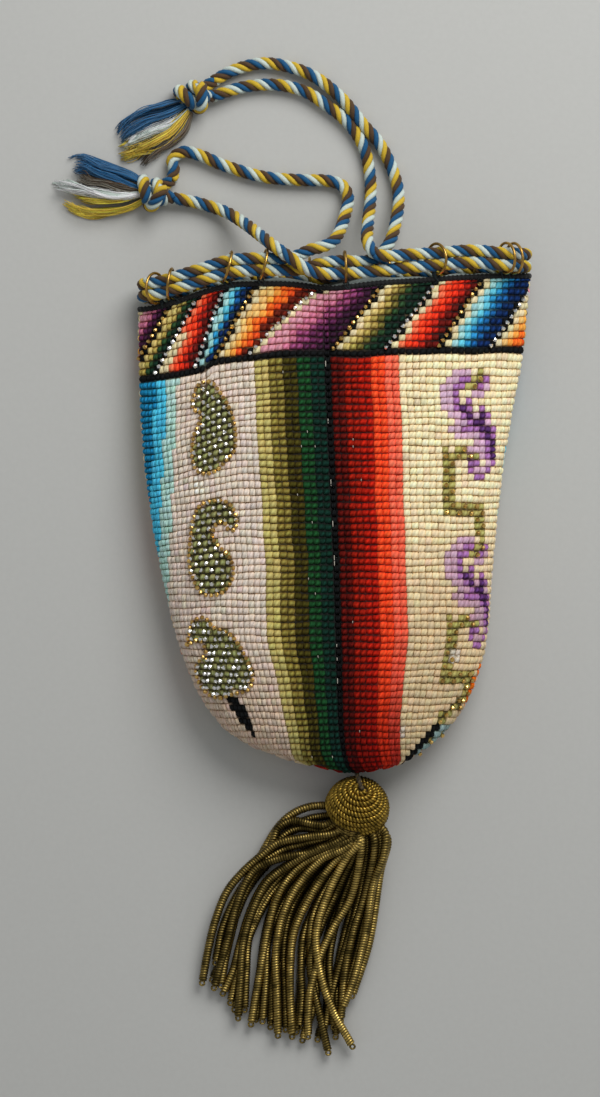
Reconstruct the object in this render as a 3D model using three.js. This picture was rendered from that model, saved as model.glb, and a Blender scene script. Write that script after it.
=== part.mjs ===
// A drawstring reticule lying on its back: four sewn needlework gores, a silk lining, brass rings along
// the mouth, two twisted cords that end in knots and frayed tufts, and a metal-thread tassel.
// Millimetres. +Y points to the mouth, +Z up from the surface that the bag lies on.

import * as THREE from "three";

// Gap left between pieces that touch
const GAP = 0.3;

// Bag walls: canvas with wool stitches, and the silk lining inside them
const WALL = 2.2;
const LINING_WALL = 0.8;
const LINING_CLEARANCE = 0.8;
const LINING_RISE = 2.6;
const EDGING_RADIUS = 1.0;

// Sections across the bag from the mouth to the drawn-together bottom. crown and floor are the heights of
// the front and back, side is the height of the side seams, and valley is the dip along the front seam.
const SECTIONS = [
  { y: 146.0, left: -79.0, right: 79.0, crown: 19.0, floor: 0.0, side: 9.0, seam: -1.4, valley: 1.5 },
  { y: 118.0, left: -78.6, right: 75.8, crown: 25.0, floor: 0.0, side: 11.0, seam: -1.2, valley: 3.0 },
  { y: 80.0, left: -76.2, right: 68.8, crown: 30.0, floor: 0.0, side: 12.0, seam: -0.6, valley: 4.0 },
  { y: 40.0, left: -70.8, right: 64.2, crown: 33.0, floor: 0.0, side: 12.5, seam: 0.6, valley: 5.0 },
  { y: 5.0, left: -63.2, right: 61.2, crown: 34.0, floor: 0.0, side: 13.0, seam: 1.4, valley: 5.0 },
  { y: -18.0, left: -54.0, right: 54.4, crown: 32.0, floor: 0.0, side: 13.5, seam: 2.0, valley: 4.5 },
  { y: -32.0, left: -43.0, right: 44.6, crown: 29.0, floor: 0.6, side: 14.0, seam: 2.6, valley: 3.5 },
  { y: -41.0, left: -27.0, right: 34.0, crown: 25.0, floor: 3.0, side: 14.2, seam: 3.6, valley: 2.0 },
  { y: -46.5, left: -8.0, right: 24.0, crown: 20.5, floor: 7.6, side: 14.2, seam: 5.6, valley: 0.6 },
  { y: -48.8, left: 8.4, right: 8.4, crown: 14.2, floor: 14.2, side: 14.2, seam: 8.4, valley: 0.0 },
];
const LAST = SECTIONS.length - 1;
const GORE_END = LAST - 0.25;
// Roundness of the front, width of the dip along its seam, and how much deeper the dip is inside the wall
const FRONT_POWER = 2.6;
const VALLEY_WIDTH = 9;
const SEAM_FULLNESS = 0.4;
// Place of the back seam at the mouth, and the share of the back that lies flat
const BACK_SEAM = 1.0;
const FLAT_SHARE = 0.72;

// The mouth droops at its left end, rises at its right end and dips at the front seam
const LEFT_DROOP = { depth: -10, from: -36, to: -79, fadeFrom: 110, fadeTo: 0 };
const RIGHT_RISE = { depth: 3.4, from: 5, to: 75, fadeFrom: 146, fadeTo: 100 };
const SEAM_DIP = { depth: -1.8, at: -1, width: 12, fadeFrom: 146, fadeTo: 118 };

// Mesh steps
const GORE_ROWS = 20;
const GORE_COLUMNS = 10;
const LOOP_HALF = 26;
const LINING_ROWS = 13;
const EDGING_SIDES = 6;
const RING_STEPS = 16;
const RING_WIRE_SIDES = 5;
const KNOT_SIDES = 14;
const KNOT_BANDS = 9;
const TIE_SIDES = 10;

// Brass rings: height of the centre, turn about Y that follows the cords, lean of the ring in the view
const RING_RADIUS = 6.05;
const RING_WIRE = 0.55;
const FRONT_RINGS = [
  { x: -71.5, z: 17.0, turn: -35, lean: 0 },
  { x: -65.5, z: 18.0, turn: -8, lean: -6 },
  { x: -42.6, z: 21.0, turn: 6, lean: -15 },
  { x: -28.4, z: 21.0, turn: 8, lean: -14 },
  { x: 4.2, z: 18.5, turn: 3, lean: 2 },
  { x: 40.6, z: 19.5, turn: 38, lean: 4 },
  { x: 68.5, z: 18.6, turn: 32, lean: 4 },
  { x: 71.6, z: 18.0, turn: 32, lean: 4 },
];
const BACK_RINGS = [
  { x: -56, z: 6.9, turn: 0, lean: 0 },
  { x: -33, z: 6.9, turn: 0, lean: 0 },
  { x: -10, z: 6.9, turn: 0, lean: 0 },
  { x: 22, z: 6.9, turn: 0, lean: 0 },
  { x: 56, z: 6.9, turn: 0, lean: 0 },
];

// Cords: the core of a four-strand twisted cord, and the routes that it follows
const CORD_DIAMETER = 4.4;
const CORD_SIDES = 8;
const DRAWSTRINGS = {
  // A free end from the knot to the rings, the run right round the mouth, and the other free end
  drawstring_a: {
    inner: [
      [-48.6, 222.8, 4.4], [-36.6, 226.6, 2.8], [-23.8, 227.6, 2.6], [-12.2, 225.0, 2.6],
      [-3.8, 219.8, 2.6], [5.0, 212.8, 2.6], [11.4, 203.4, 2.6], [14.2, 192.2, 2.8], [14.6, 182.6, 5.6],
      [13.4, 171.0, 13.0], [13.2, 163.4, 19.6],
    ],
    run: [
      [15.8, 158.8, 21.9], [20.8, 157.6, 21.9], [28.0, 158.2, 20.6], [40.6, 158.9, 19.5],
      [55.0, 160.0, 19.4], [68.5, 158.8, 18.6], [71.6, 158.8, 17.9], [75.2, 158.8, 15.4],
      [76.6, 158.8, 11.4], [75.2, 158.7, 7.2], [70.5, 158.4, 5.0], [56.0, 158.0, 5.0],
      [39.0, 156.8, 5.0], [22.0, 155.5, 5.2], [13.5, 154.6, 6.4], [6.0, 152.4, 7.5], [-2.0, 150.0, 6.4],
      [-10.0, 149.2, 5.2], [-33.0, 150.2, 5.0], [-56.0, 145.8, 5.0], [-70.5, 141.6, 5.0],
      [-75.2, 141.8, 7.0], [-76.6, 142.0, 11.0], [-75.2, 142.2, 14.8], [-71.5, 142.4, 16.9],
      [-65.5, 144.1, 18.0], [-54.0, 147.6, 20.0], [-42.6, 151.0, 21.0], [-33.0, 151.9, 21.2],
      [-24.2, 152.0, 20.8], [-15.0, 152.2, 19.6], [-10.0, 153.4, 18.8], [-5.0, 155.0, 18.4],
      [4.2, 155.9, 18.5], [11.0, 155.6, 17.4], [16.4, 157.2, 16.6],
    ],
    outer: [
      [21.4, 162.4, 14.8], [24.4, 171.0, 10.6], [25.8, 182.6, 5.2], [23.8, 192.2, 2.8],
      [18.2, 203.8, 2.6], [11.4, 211.8, 2.9], [2.6, 222.4, 3.2], [-7.4, 230.4, 2.9],
      [-16.2, 234.2, 2.7], [-28.6, 236.2, 2.6], [-41.4, 233.0, 2.8], [-48.4, 228.9, 4.0],
    ],
  },
  drawstring_b: {
    lower: [
      [-64.6, 181.9, 4.6], [-54.6, 180.0, 2.8], [-43.4, 176.2, 4.8], [-35.6, 171.0, 11.4],
      [-29.6, 166.0, 19.0], [-24.6, 161.8, 24.2],
    ],
    run: [
      [-20.6, 158.8, 25.6], [-17.0, 156.2, 25.6], [-11.5, 152.6, 24.6], [-6.5, 150.8, 22.4],
      [-1.0, 150.7, 19.9], [4.2, 151.0, 18.5], [14.0, 151.5, 18.9], [27.0, 153.0, 19.3],
      [40.6, 154.1, 19.5], [55.0, 155.2, 19.4], [68.5, 154.0, 18.6], [71.6, 154.0, 17.9],
      [75.2, 154.0, 15.4], [76.6, 154.0, 11.4], [75.2, 153.9, 7.2], [70.5, 153.6, 5.0],
      [56.0, 153.2, 5.0], [39.0, 152.0, 5.0], [22.0, 150.7, 4.8], [13.5, 151.0, 3.2], [6.0, 152.2, 2.6],
      [-2.0, 153.6, 3.2], [-10.0, 154.0, 4.8], [-33.0, 155.0, 5.0], [-56.0, 150.6, 5.0],
      [-70.5, 146.4, 5.0], [-75.2, 146.6, 7.0], [-76.6, 146.8, 11.0], [-75.2, 147.0, 14.8],
      [-71.5, 147.2, 16.9], [-65.5, 148.9, 18.0], [-54.0, 152.4, 20.0], [-42.6, 155.8, 21.0],
      [-33.0, 156.7, 21.2], [-24.2, 156.8, 20.8], [-19.0, 156.8, 20.6], [-14.4, 158.0, 20.6],
    ],
    upper: [
      [-9.8, 160.2, 20.4], [-5.0, 161.4, 20.2], [-0.8, 163.4, 18.6], [2.2, 168.2, 14.2],
      [4.4, 175.4, 8.0], [5.6, 181.8, 3.8], [3.2, 187.0, 2.7], [-3.0, 189.0, 2.6], [-12.2, 189.2, 2.6],
      [-28.6, 190.6, 2.6], [-45.0, 195.4, 2.6], [-54.0, 199.2, 2.7], [-60.6, 200.6, 3.0],
      [-65.0, 197.6, 3.2], [-64.4, 192.8, 3.6], [-65.4, 189.0, 4.6],
    ],
  },
};
const RUN_STEP = 5;
const FREE_STEP = 7;

// Knots, as the outer form of the tied cords
const KNOTS = {
  knot_a: { x: -56.4, y: 223.4, z: 7.0, long: 7.6, wide: 7.4, tall: 6.4, turn: 30 },
  knot_b: { x: -72.8, y: 184.2, z: 7.0, long: 7.6, wide: 7.4, tall: 6.4, turn: 10 },
};

// Frayed tufts: sections from the knot to the tips
const TUFTS = {
  tuft_a: [
    { x: -62.6, y: 218.0, wide: 7.5, tall: 6.0, heading: 214 },
    { x: -69.0, y: 214.4, wide: 13.0, tall: 8.0, heading: 212 },
    { x: -76.0, y: 209.6, wide: 19.0, tall: 8.0, heading: 212 },
    { x: -83.0, y: 205.4, wide: 19.0, tall: 6.0, heading: 211 },
    { x: -88.0, y: 202.4, wide: 10.0, tall: 3.0, heading: 211 },
  ],
  tuft_b: [
    { x: -80.6, y: 184.4, wide: 7.5, tall: 6.0, heading: 180 },
    { x: -87.0, y: 184.6, wide: 13.0, tall: 8.0, heading: 179 },
    { x: -95.0, y: 185.4, wide: 20.0, tall: 8.0, heading: 178 },
    { x: -104.0, y: 186.0, wide: 20.0, tall: 6.0, heading: 178 },
    { x: -110.0, y: 186.4, wide: 11.0, tall: 3.0, heading: 178 },
  ],
};
const TUFT_SIDES = 12;

// Tassel: a domed head tipped towards the bag, its tie, and the fan of its skirt
const HEAD_RADIUS = 13.2;
const HEAD_HEIGHT = 13.0;
const HEAD_BASE = 1.5;
const HEAD_CENTRE = new THREE.Vector3(9.0, -62.8, 9.6);
const HEAD_AXIS = new THREE.Vector3(2.2, 9.4, 10.5).normalize();
const HEAD_SIDES = 28;
const TIE_RADIUS = 0.9;
const TIE_TOP = new THREE.Vector3(8.4, -46.9, 14.3);
const SKIRT_NECK_RADIUS = 11.8;
const SKIRT_SIDES = 24;
const SKIRT_FAN = [
  { leftX: -21.0, leftY: -78.0, rightX: 19.8, rightY: -84.0, tall: 12.5 },
  { leftX: -36.5, leftY: -92.0, rightX: 18.2, rightY: -100.0, tall: 10.0 },
  { leftX: -45.5, leftY: -108.0, rightX: 14.0, rightY: -118.0, tall: 8.5 },
  { leftX: -51.0, leftY: -123.0, rightX: 9.4, rightY: -137.0, tall: 7.5 },
  { leftX: -52.0, leftY: -133.0, rightX: 6.6, rightY: -153.0, tall: 6.5 },
  { leftX: -41.0, leftY: -146.0, rightX: 1.0, rightY: -161.0, tall: 5.0 },
];

const smoothstep = (value, from, to) => THREE.MathUtils.smoothstep((value - from) / (to - from), 0, 1);

// Value of one column of the section table at station t, on a smooth curve through its rows
function column(t, name) {
  const row = Math.min(Math.floor(t), LAST - 1);
  const before = SECTIONS[Math.max(row - 1, 0)][name];
  const start = SECTIONS[row][name];
  const end = SECTIONS[row + 1][name];
  // Past the bottom the outline carries on up the other side
  const mirrored = { left: "right", right: "left", crown: "floor", floor: "crown" };
  const after = row + 2 > LAST ? SECTIONS[LAST - 1][mirrored[name] ?? name] : SECTIONS[row + 2][name];
  const part = t - row;
  const startSlope = (end - before) / 2;
  const endSlope = (after - start) / 2;
  const span = end - start;
  return start + part * (startSlope + part * ((3 * span - 2 * startSlope - endSlope)
    + part * (startSlope + endSlope - 2 * span)));
}

// Section at station t, moved inwards by depth at right angles to the bag's taper
function sectionAt(t, depth) {
  const reach = 0.02;
  const early = Math.max(t - reach, 0);
  const late = Math.min(t + reach, LAST);
  const halfWidth = (station) => (column(station, "right") - column(station, "left")) / 2;
  const fall = column(early, "y") - column(late, "y");
  const narrowing = halfWidth(early) - halfWidth(late);
  const length = Math.hypot(fall, narrowing);
  const inwards = (depth * fall) / length;
  const upwards = (depth * narrowing) / length;
  return {
    y: column(t, "y") + upwards,
    left: column(t, "left") + inwards,
    right: column(t, "right") - inwards,
    crown: column(t, "crown") - inwards,
    floor: Math.max(column(t, "floor"), 0) + inwards,
    side: column(t, "side"),
    seam: column(t, "seam"),
    valley: column(t, "valley") + SEAM_FULLNESS * depth,
  };
}

// How far the cloth sags along Y at a place on the bag
function sag(x, y) {
  const droop = LEFT_DROOP.depth * smoothstep(x, LEFT_DROOP.from, LEFT_DROOP.to);
  const rise = RIGHT_RISE.depth * smoothstep(x, RIGHT_RISE.from, RIGHT_RISE.to);
  const dip = SEAM_DIP.depth * Math.exp(-(((x - SEAM_DIP.at) / SEAM_DIP.width) ** 2));
  return droop * smoothstep(y, LEFT_DROOP.fadeTo, LEFT_DROOP.fadeFrom)
    + rise * smoothstep(y, RIGHT_RISE.fadeTo, RIGHT_RISE.fadeFrom)
    + dip * smoothstep(y, SEAM_DIP.fadeTo, SEAM_DIP.fadeFrom);
}

// Point on the front or back of a section at x
function facePoint(section, x, front, rise = 0) {
  const middle = (section.left + section.right) / 2;
  const across = Math.min(Math.abs((x - middle) / ((section.right - section.left) / 2)), 1);
  let z;
  if (front) {
    const base = section.side + GAP / 2;
    const valley = section.valley * Math.exp(-(((x - section.seam) / VALLEY_WIDTH) ** 2));
    z = base + (section.crown - base - valley) * Math.sqrt(1 - across ** FRONT_POWER);
  } else {
    const base = section.side - GAP / 2;
    const bend = Math.max((across - FLAT_SHARE) / (1 - FLAT_SHARE), 0);
    z = section.floor + (base - section.floor) * (1 - Math.sqrt(1 - bend * bend));
  }
  return new THREE.Vector3(x, section.y + rise + sag(x, section.y), z);
}

// Mesh from rows of points joined into quads, with the faces turned outwards
function solidFrom(points, triangles) {
  let volume = 0;
  for (const [a, b, c] of triangles) {
    volume += points[a].dot(new THREE.Vector3().crossVectors(points[b], points[c]));
  }
  const geometry = new THREE.BufferGeometry();
  const places = points.flatMap((point) => point.toArray());
  geometry.setAttribute("position", new THREE.Float32BufferAttribute(places, 3));
  geometry.setIndex(triangles.flatMap(([a, b, c]) => (volume > 0 ? [a, b, c] : [a, c, b])));
  geometry.computeVertexNormals();
  return geometry;
}

const quad = (a, b, c, d) => [[a, b, c], [a, c, d]];

// Closed shell between an outer and an inner grid of the same size
function shell(outer, inner) {
  const rows = outer.length;
  const columns = outer[0].length;
  const points = [...outer.flat(), ...inner.flat()];
  const at = (row, col) => row * columns + col;
  const under = (row, col) => rows * columns + at(row, col);
  const triangles = [];
  for (let row = 0; row < rows - 1; row++) {
    for (let col = 0; col < columns - 1; col++) {
      const [below, beside] = [row + 1, col + 1];
      triangles.push(...quad(at(row, col), at(row, beside), at(below, beside), at(below, col)));
      triangles.push(...quad(under(row, col), under(below, col), under(below, beside), under(row, beside)));
    }
    const last = columns - 1;
    triangles.push(...quad(at(row, 0), at(row + 1, 0), under(row + 1, 0), under(row, 0)));
    triangles.push(...quad(at(row, last), under(row, last), under(row + 1, last), at(row + 1, last)));
  }
  for (let col = 0; col < columns - 1; col++) {
    const last = rows - 1;
    triangles.push(...quad(at(0, col), under(0, col), under(0, col + 1), at(0, col + 1)));
    triangles.push(...quad(at(last, col), at(last, col + 1), under(last, col + 1), under(last, col)));
  }
  return solidFrom(points, triangles);
}

// Closed body through loops of points, each with the same number of points, with flat or joined ends
function lofted(loops, endless) {
  const sides = loops[0].length;
  const points = loops.flat();
  const triangles = [];
  const bands = endless ? loops.length : loops.length - 1;
  for (let band = 0; band < bands; band++) {
    const here = band * sides;
    const next = ((band + 1) % loops.length) * sides;
    for (let side = 0; side < sides; side++) {
      const other = (side + 1) % sides;
      triangles.push(...quad(here + side, here + other, next + other, next + side));
    }
  }
  if (!endless) {
    const end = (loops.length - 1) * sides;
    for (let side = 1; side < sides - 1; side++) {
      triangles.push([0, side + 1, side], [end, end + side, end + side + 1]);
    }
  }
  return solidFrom(points, triangles);
}

function named(name, geometry, material) {
  const mesh = new THREE.Mesh(geometry, new THREE.MeshStandardMaterial(material));
  mesh.name = name;
  return mesh;
}

// A gore runs from a side seam to the front or back seam, and from the mouth to the bottom
function gore(front, leftSide) {
  const grid = (depth) => Array.from({ length: GORE_ROWS + 1 }, (_, row) => {
    const section = sectionAt((row / GORE_ROWS) * GORE_END, depth);
    const backSeam = THREE.MathUtils.lerp(BACK_SEAM, SECTIONS[LAST].seam, row / GORE_ROWS);
    const middle = front ? section.seam : backSeam;
    const edge = leftSide ? section.left : section.right;
    const inner = middle + (leftSide ? -GAP / 2 : GAP / 2);
    return Array.from({ length: GORE_COLUMNS + 1 }, (__, col) => {
      const share = (1 - Math.cos((col / GORE_COLUMNS) * Math.PI)) / 2;
      return facePoint(section, edge + (inner - edge) * share, front);
    });
  });
  return shell(grid(0), grid(WALL));
}

// Loop round the bag at one section: across the front, then back across the underside
function loopAt(section, rise) {
  const middle = (section.left + section.right) / 2;
  const half = (section.right - section.left) / 2;
  const along = (step) => middle - half * Math.cos((step / LOOP_HALF) * Math.PI);
  const steps = Array.from({ length: LOOP_HALF }, (_, step) => step);
  const over = steps.map((step) => facePoint(section, along(step), true, rise));
  const under = steps.map((step) => facePoint(section, along(LOOP_HALF - step), false, rise));
  return [...over, ...under];
}

// The lining is a bag inside the bag, a little taller than the walls
function lining() {
  const outerDepth = WALL + LINING_CLEARANCE;
  const loops = (depth) => {
    const rows = Array.from({ length: LINING_ROWS + 1 }, (_, row) => (
      loopAt(sectionAt((row / LINING_ROWS) * GORE_END, depth), 0)
    ));
    const mouth = sectionAt(0, depth);
    const top = loopAt(mouth, 0).map((point) => {
      point.y += LINING_RISE * smoothstep(point.z, mouth.side, mouth.crown);
      return point;
    });
    return [top, ...rows];
  };
  return lofted([...loops(outerDepth), ...loops(outerDepth + LINING_WALL).reverse()], true);
}

// Centre of the overcast edge, above the middle of the wall's thickness
function edgingLine() {
  return loopAt(sectionAt(0, WALL / 2), GAP + EDGING_RADIUS);
}

function rimEdging() {
  const line = edgingLine();
  const up = new THREE.Vector3(0, 1, 0);
  const loops = line.map((point, index) => {
    const next = line[(index + 1) % line.length];
    const last = line[(index + line.length - 1) % line.length];
    const across = new THREE.Vector3().subVectors(next, last).cross(up).normalize();
    return Array.from({ length: EDGING_SIDES }, (_, side) => {
      const angle = (side / EDGING_SIDES) * 2 * Math.PI;
      return point.clone()
        .addScaledVector(up, EDGING_RADIUS * Math.cos(angle))
        .addScaledVector(across, EDGING_RADIUS * Math.sin(angle));
    });
  });
  return lofted(loops, true);
}

// A ring stands past the rim, with its wire just clear of the overcast edge that it is sewn to
function ringMesh(name, row, front) {
  const section = sectionAt(0, WALL / 2);
  const seat = facePoint(section, row.x, front, GAP + EDGING_RADIUS);
  const reach = RING_RADIUS + RING_WIRE + EDGING_RADIUS + GAP;
  const geometry = new THREE.TorusGeometry(RING_RADIUS, RING_WIRE, RING_WIRE_SIDES, RING_STEPS);
  const brass = named(name, geometry, { color: 0xb08d3f, roughness: 0.35, metalness: 1 });
  const facing = new THREE.Quaternion().setFromAxisAngle(
    new THREE.Vector3(0, 1, 0), Math.PI / 2 + THREE.MathUtils.degToRad(row.turn),
  );
  const leaning = new THREE.Quaternion().setFromAxisAngle(
    new THREE.Vector3(0, 0, 1), THREE.MathUtils.degToRad(row.lean),
  );
  brass.quaternion.copy(leaning).multiply(facing);
  brass.position.set(row.x, seat.y + Math.sqrt(reach ** 2 - (row.z - seat.z) ** 2), row.z);
  return brass;
}

// Part of a longer curve, between two shares of its length
class Stretch extends THREE.Curve {
  constructor(whole, from, to) {
    super();
    Object.assign(this, { whole, from, to });
  }

  getPoint(share, target) {
    return this.whole.getPointAt(THREE.MathUtils.lerp(this.from, this.to, share), target);
  }
}

// A drawstring is one smooth curve, cut into plain tubes where it leaves the rings
function cordTubes(name, stretches) {
  const points = Object.values(stretches).flat();
  const whole = new THREE.CatmullRomCurve3(points.map((point) => new THREE.Vector3(...point)));
  const finer = 30;
  const lengths = whole.getLengths((points.length - 1) * finer);
  whole.arcLengthDivisions = (points.length - 1) * finer;
  const total = lengths.at(-1);
  const outline = new THREE.Shape(Array.from({ length: CORD_SIDES }, (_, side) => {
    const angle = (side / CORD_SIDES) * 2 * Math.PI;
    return new THREE.Vector2(Math.cos(angle), Math.sin(angle)).multiplyScalar(CORD_DIAMETER / 2);
  }));
  const [first, run] = Object.values(stretches).map((list) => list.length);
  const starts = [0, lengths[first * finer], lengths[(first + run - 1) * finer], total];
  return Object.keys(stretches).map((stretch, index) => {
    const from = starts[index] + (index > 0 ? GAP / 2 : 0);
    const to = starts[index + 1] - (index < 2 ? GAP / 2 : 0);
    const steps = Math.round((to - from) / (stretch === "run" ? RUN_STEP : FREE_STEP));
    const extrudePath = new Stretch(whole, from / total, to / total);
    const geometry = new THREE.ExtrudeGeometry(outline, { steps, bevelEnabled: false, extrudePath });
    return named(`${name}_${stretch}`, geometry, { color: 0x9a9272, roughness: 0.7 });
  });
}

function knotMesh(name, row) {
  const ball = new THREE.SphereGeometry(1, KNOT_SIDES, KNOT_BANDS);
  const form = named(name, ball, { color: 0x8f8a6a, roughness: 0.8 });
  form.scale.set(row.long, row.wide, row.tall);
  form.rotation.z = THREE.MathUtils.degToRad(row.turn);
  form.position.set(row.x, row.y, row.z);
  return form;
}

// A tuft lies on the surface, widening from the knot to the tips
function tuft(rows) {
  return lofted(rows.map((row) => {
    const side = THREE.MathUtils.degToRad(row.heading + 90);
    return Array.from({ length: TUFT_SIDES }, (_, step) => {
      const angle = (step / TUFT_SIDES) * 2 * Math.PI;
      const out = (row.wide / 2) * Math.cos(angle);
      const height = GAP + (row.tall / 2) * (1 + Math.sin(angle));
      return new THREE.Vector3(row.x + out * Math.cos(side), row.y + out * Math.sin(side), height);
    });
  }), false);
}

function tasselHead() {
  const profile = [
    new THREE.Vector2(0, -HEAD_BASE),
    new THREE.Vector2(HEAD_RADIUS - HEAD_BASE, -HEAD_BASE),
  ];
  const arcSteps = 8;
  for (let step = 0; step < arcSteps; step++) {
    const angle = (step / arcSteps) * (Math.PI / 2);
    profile.push(new THREE.Vector2(HEAD_RADIUS * Math.cos(angle), HEAD_HEIGHT * Math.sin(angle)));
  }
  profile.push(new THREE.Vector2(0, HEAD_HEIGHT));
  const head = named("tassel_head", new THREE.LatheGeometry(profile, HEAD_SIDES), {
    color: 0x7d6a3a, roughness: 0.45, metalness: 0.7,
  });
  head.quaternion.setFromUnitVectors(new THREE.Vector3(0, 1, 0), HEAD_AXIS);
  head.position.copy(HEAD_CENTRE);
  return head;
}

// The tie runs from inside the drawn-together bottom to the dome of the head
function tasselTie() {
  const towards = new THREE.Vector3().subVectors(HEAD_CENTRE, TIE_TOP);
  const length = towards.length() - HEAD_RADIUS - GAP;
  const cord = new THREE.CylinderGeometry(TIE_RADIUS, TIE_RADIUS, length, TIE_SIDES);
  const tie = named("tassel_tie", cord, { color: 0x4a3f28, roughness: 0.8 });
  towards.normalize();
  tie.quaternion.setFromUnitVectors(new THREE.Vector3(0, 1, 0), towards);
  tie.position.copy(TIE_TOP).addScaledVector(towards, length / 2);
  return tie;
}

// The skirt leaves the head as a round neck and spreads into a flat fan
function tasselSkirt() {
  const across = new THREE.Vector3(HEAD_AXIS.y, -HEAD_AXIS.x, 0).normalize();
  const upwards = new THREE.Vector3().crossVectors(across, HEAD_AXIS).normalize();
  if (upwards.z < 0) upwards.negate();
  const neckCentre = HEAD_CENTRE.clone().addScaledVector(HEAD_AXIS, -HEAD_BASE - GAP);
  const angles = Array.from({ length: SKIRT_SIDES }, (_, step) => (step / SKIRT_SIDES) * 2 * Math.PI);
  const neck = angles.map((angle) => neckCentre.clone()
    .addScaledVector(across, SKIRT_NECK_RADIUS * Math.cos(angle))
    .addScaledVector(upwards, SKIRT_NECK_RADIUS * Math.sin(angle)));
  const fan = SKIRT_FAN.map((row) => angles.map((angle) => {
    const share = (1 + Math.cos(angle)) / 2;
    const lift = Math.sign(Math.sin(angle)) * Math.sqrt(Math.abs(Math.sin(angle)));
    return new THREE.Vector3(
      THREE.MathUtils.lerp(row.leftX, row.rightX, share),
      THREE.MathUtils.lerp(row.leftY, row.rightY, share),
      GAP + (row.tall / 2) * (1 + lift),
    );
  }));
  return lofted([neck, ...fan], false);
}

const WOOL_FRONT_LEFT = { color: 0xc9b79a, roughness: 0.95 };
const WOOL_FRONT_RIGHT = { color: 0xb0563c, roughness: 0.95 };
const WOOL_BACK_LEFT = { color: 0xb9a888, roughness: 0.95 };
const WOOL_BACK_RIGHT = { color: 0xa05a40, roughness: 0.95 };

const reticule = new THREE.Group();
reticule.add(named("gore_front_left", gore(true, true), WOOL_FRONT_LEFT));
reticule.add(named("gore_front_right", gore(true, false), WOOL_FRONT_RIGHT));
reticule.add(named("gore_back_left", gore(false, true), WOOL_BACK_LEFT));
reticule.add(named("gore_back_right", gore(false, false), WOOL_BACK_RIGHT));
reticule.add(named("lining", lining(), { color: 0xcfe0d6, roughness: 0.5 }));
reticule.add(named("rim_edging", rimEdging(), { color: 0x1a1918, roughness: 0.9 }));
FRONT_RINGS.forEach((row, index) => reticule.add(ringMesh(`ring_front_${index + 1}`, row, true)));
BACK_RINGS.forEach((row, index) => reticule.add(ringMesh(`ring_back_${index + 1}`, row, false)));
for (const [name, stretches] of Object.entries(DRAWSTRINGS)) reticule.add(...cordTubes(name, stretches));
for (const [name, row] of Object.entries(KNOTS)) reticule.add(knotMesh(name, row));
for (const [name, rows] of Object.entries(TUFTS)) {
  reticule.add(named(name, tuft(rows), { color: 0x93a0a0, roughness: 0.85 }));
}
reticule.add(tasselTie());
reticule.add(tasselHead());
reticule.add(named("tassel_skirt", tasselSkirt(), { color: 0x6f5d33, roughness: 0.5, metalness: 0.6 }));

export default reticule;
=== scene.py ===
# A drawstring reticule lying on its back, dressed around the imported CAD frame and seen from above.
# Sizes are in millimetres and turned into metres where a mesh is made. Only the frame is read.

import math

import bpy
import bmesh
import numpy as np
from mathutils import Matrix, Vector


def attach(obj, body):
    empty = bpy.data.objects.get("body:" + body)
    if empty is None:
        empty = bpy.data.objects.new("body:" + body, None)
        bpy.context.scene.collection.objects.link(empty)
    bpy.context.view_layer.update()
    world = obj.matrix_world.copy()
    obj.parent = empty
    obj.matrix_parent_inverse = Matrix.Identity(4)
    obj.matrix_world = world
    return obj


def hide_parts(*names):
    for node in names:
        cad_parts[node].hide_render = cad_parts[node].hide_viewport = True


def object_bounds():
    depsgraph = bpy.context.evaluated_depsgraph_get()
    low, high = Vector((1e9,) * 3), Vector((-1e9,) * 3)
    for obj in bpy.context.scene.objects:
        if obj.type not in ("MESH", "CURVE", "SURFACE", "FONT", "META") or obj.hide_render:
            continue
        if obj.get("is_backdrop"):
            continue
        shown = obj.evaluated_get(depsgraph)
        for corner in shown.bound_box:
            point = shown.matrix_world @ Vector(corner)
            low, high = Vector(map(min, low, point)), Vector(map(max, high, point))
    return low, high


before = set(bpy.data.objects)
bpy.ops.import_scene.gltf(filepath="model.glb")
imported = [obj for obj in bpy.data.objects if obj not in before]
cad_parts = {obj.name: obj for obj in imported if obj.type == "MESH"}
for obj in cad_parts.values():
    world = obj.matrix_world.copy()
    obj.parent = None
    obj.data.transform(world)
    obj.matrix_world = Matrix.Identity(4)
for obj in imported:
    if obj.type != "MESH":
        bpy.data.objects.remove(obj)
cad_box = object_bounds()


# Floor, light and camera
# The bag lies on a plain pale surface. One large soft lamp stands to the upper right, the room fills the
# shadows, and the camera looks straight down from two metres, as in the photograph.

MM = 0.001
IMAGE_HEIGHT = 1097
MM_PER_PIXEL = 0.4
VIEW_CENTRE = (-13.8, 41.2)
CAMERA_HEIGHT = 2000.0
REFERENCE_HEIGHT = 12.0
SENSOR = 36.0
FLOOR_HALF, FLOOR_LEVEL = 1600.0, -0.35
FLOOR_TONES = ((186, 186, 182), (191, 191, 187))
LAMP_PLACE = (380.0, 830.0, 800.0)
LAMP_SIZE, LAMP_POWER = 0.85, 11.0
ROOM_TINT, ROOM_LIGHT = (0.97, 0.985, 1.0, 1.0), 0.37


def dye(colour):
    """A screen colour of three numbers up to 255 as linear light."""
    share = np.asarray(colour, float) / 255.0
    return np.where(share <= 0.04045, share / 12.92, ((share + 0.055) / 1.055) ** 2.4)


def srgb(colour):
    return (*dye(colour), 1.0)


def put(name, data):
    """A new object in the scene."""
    made = bpy.data.objects.new(name, data)
    bpy.context.scene.collection.objects.link(made)
    return made


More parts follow.
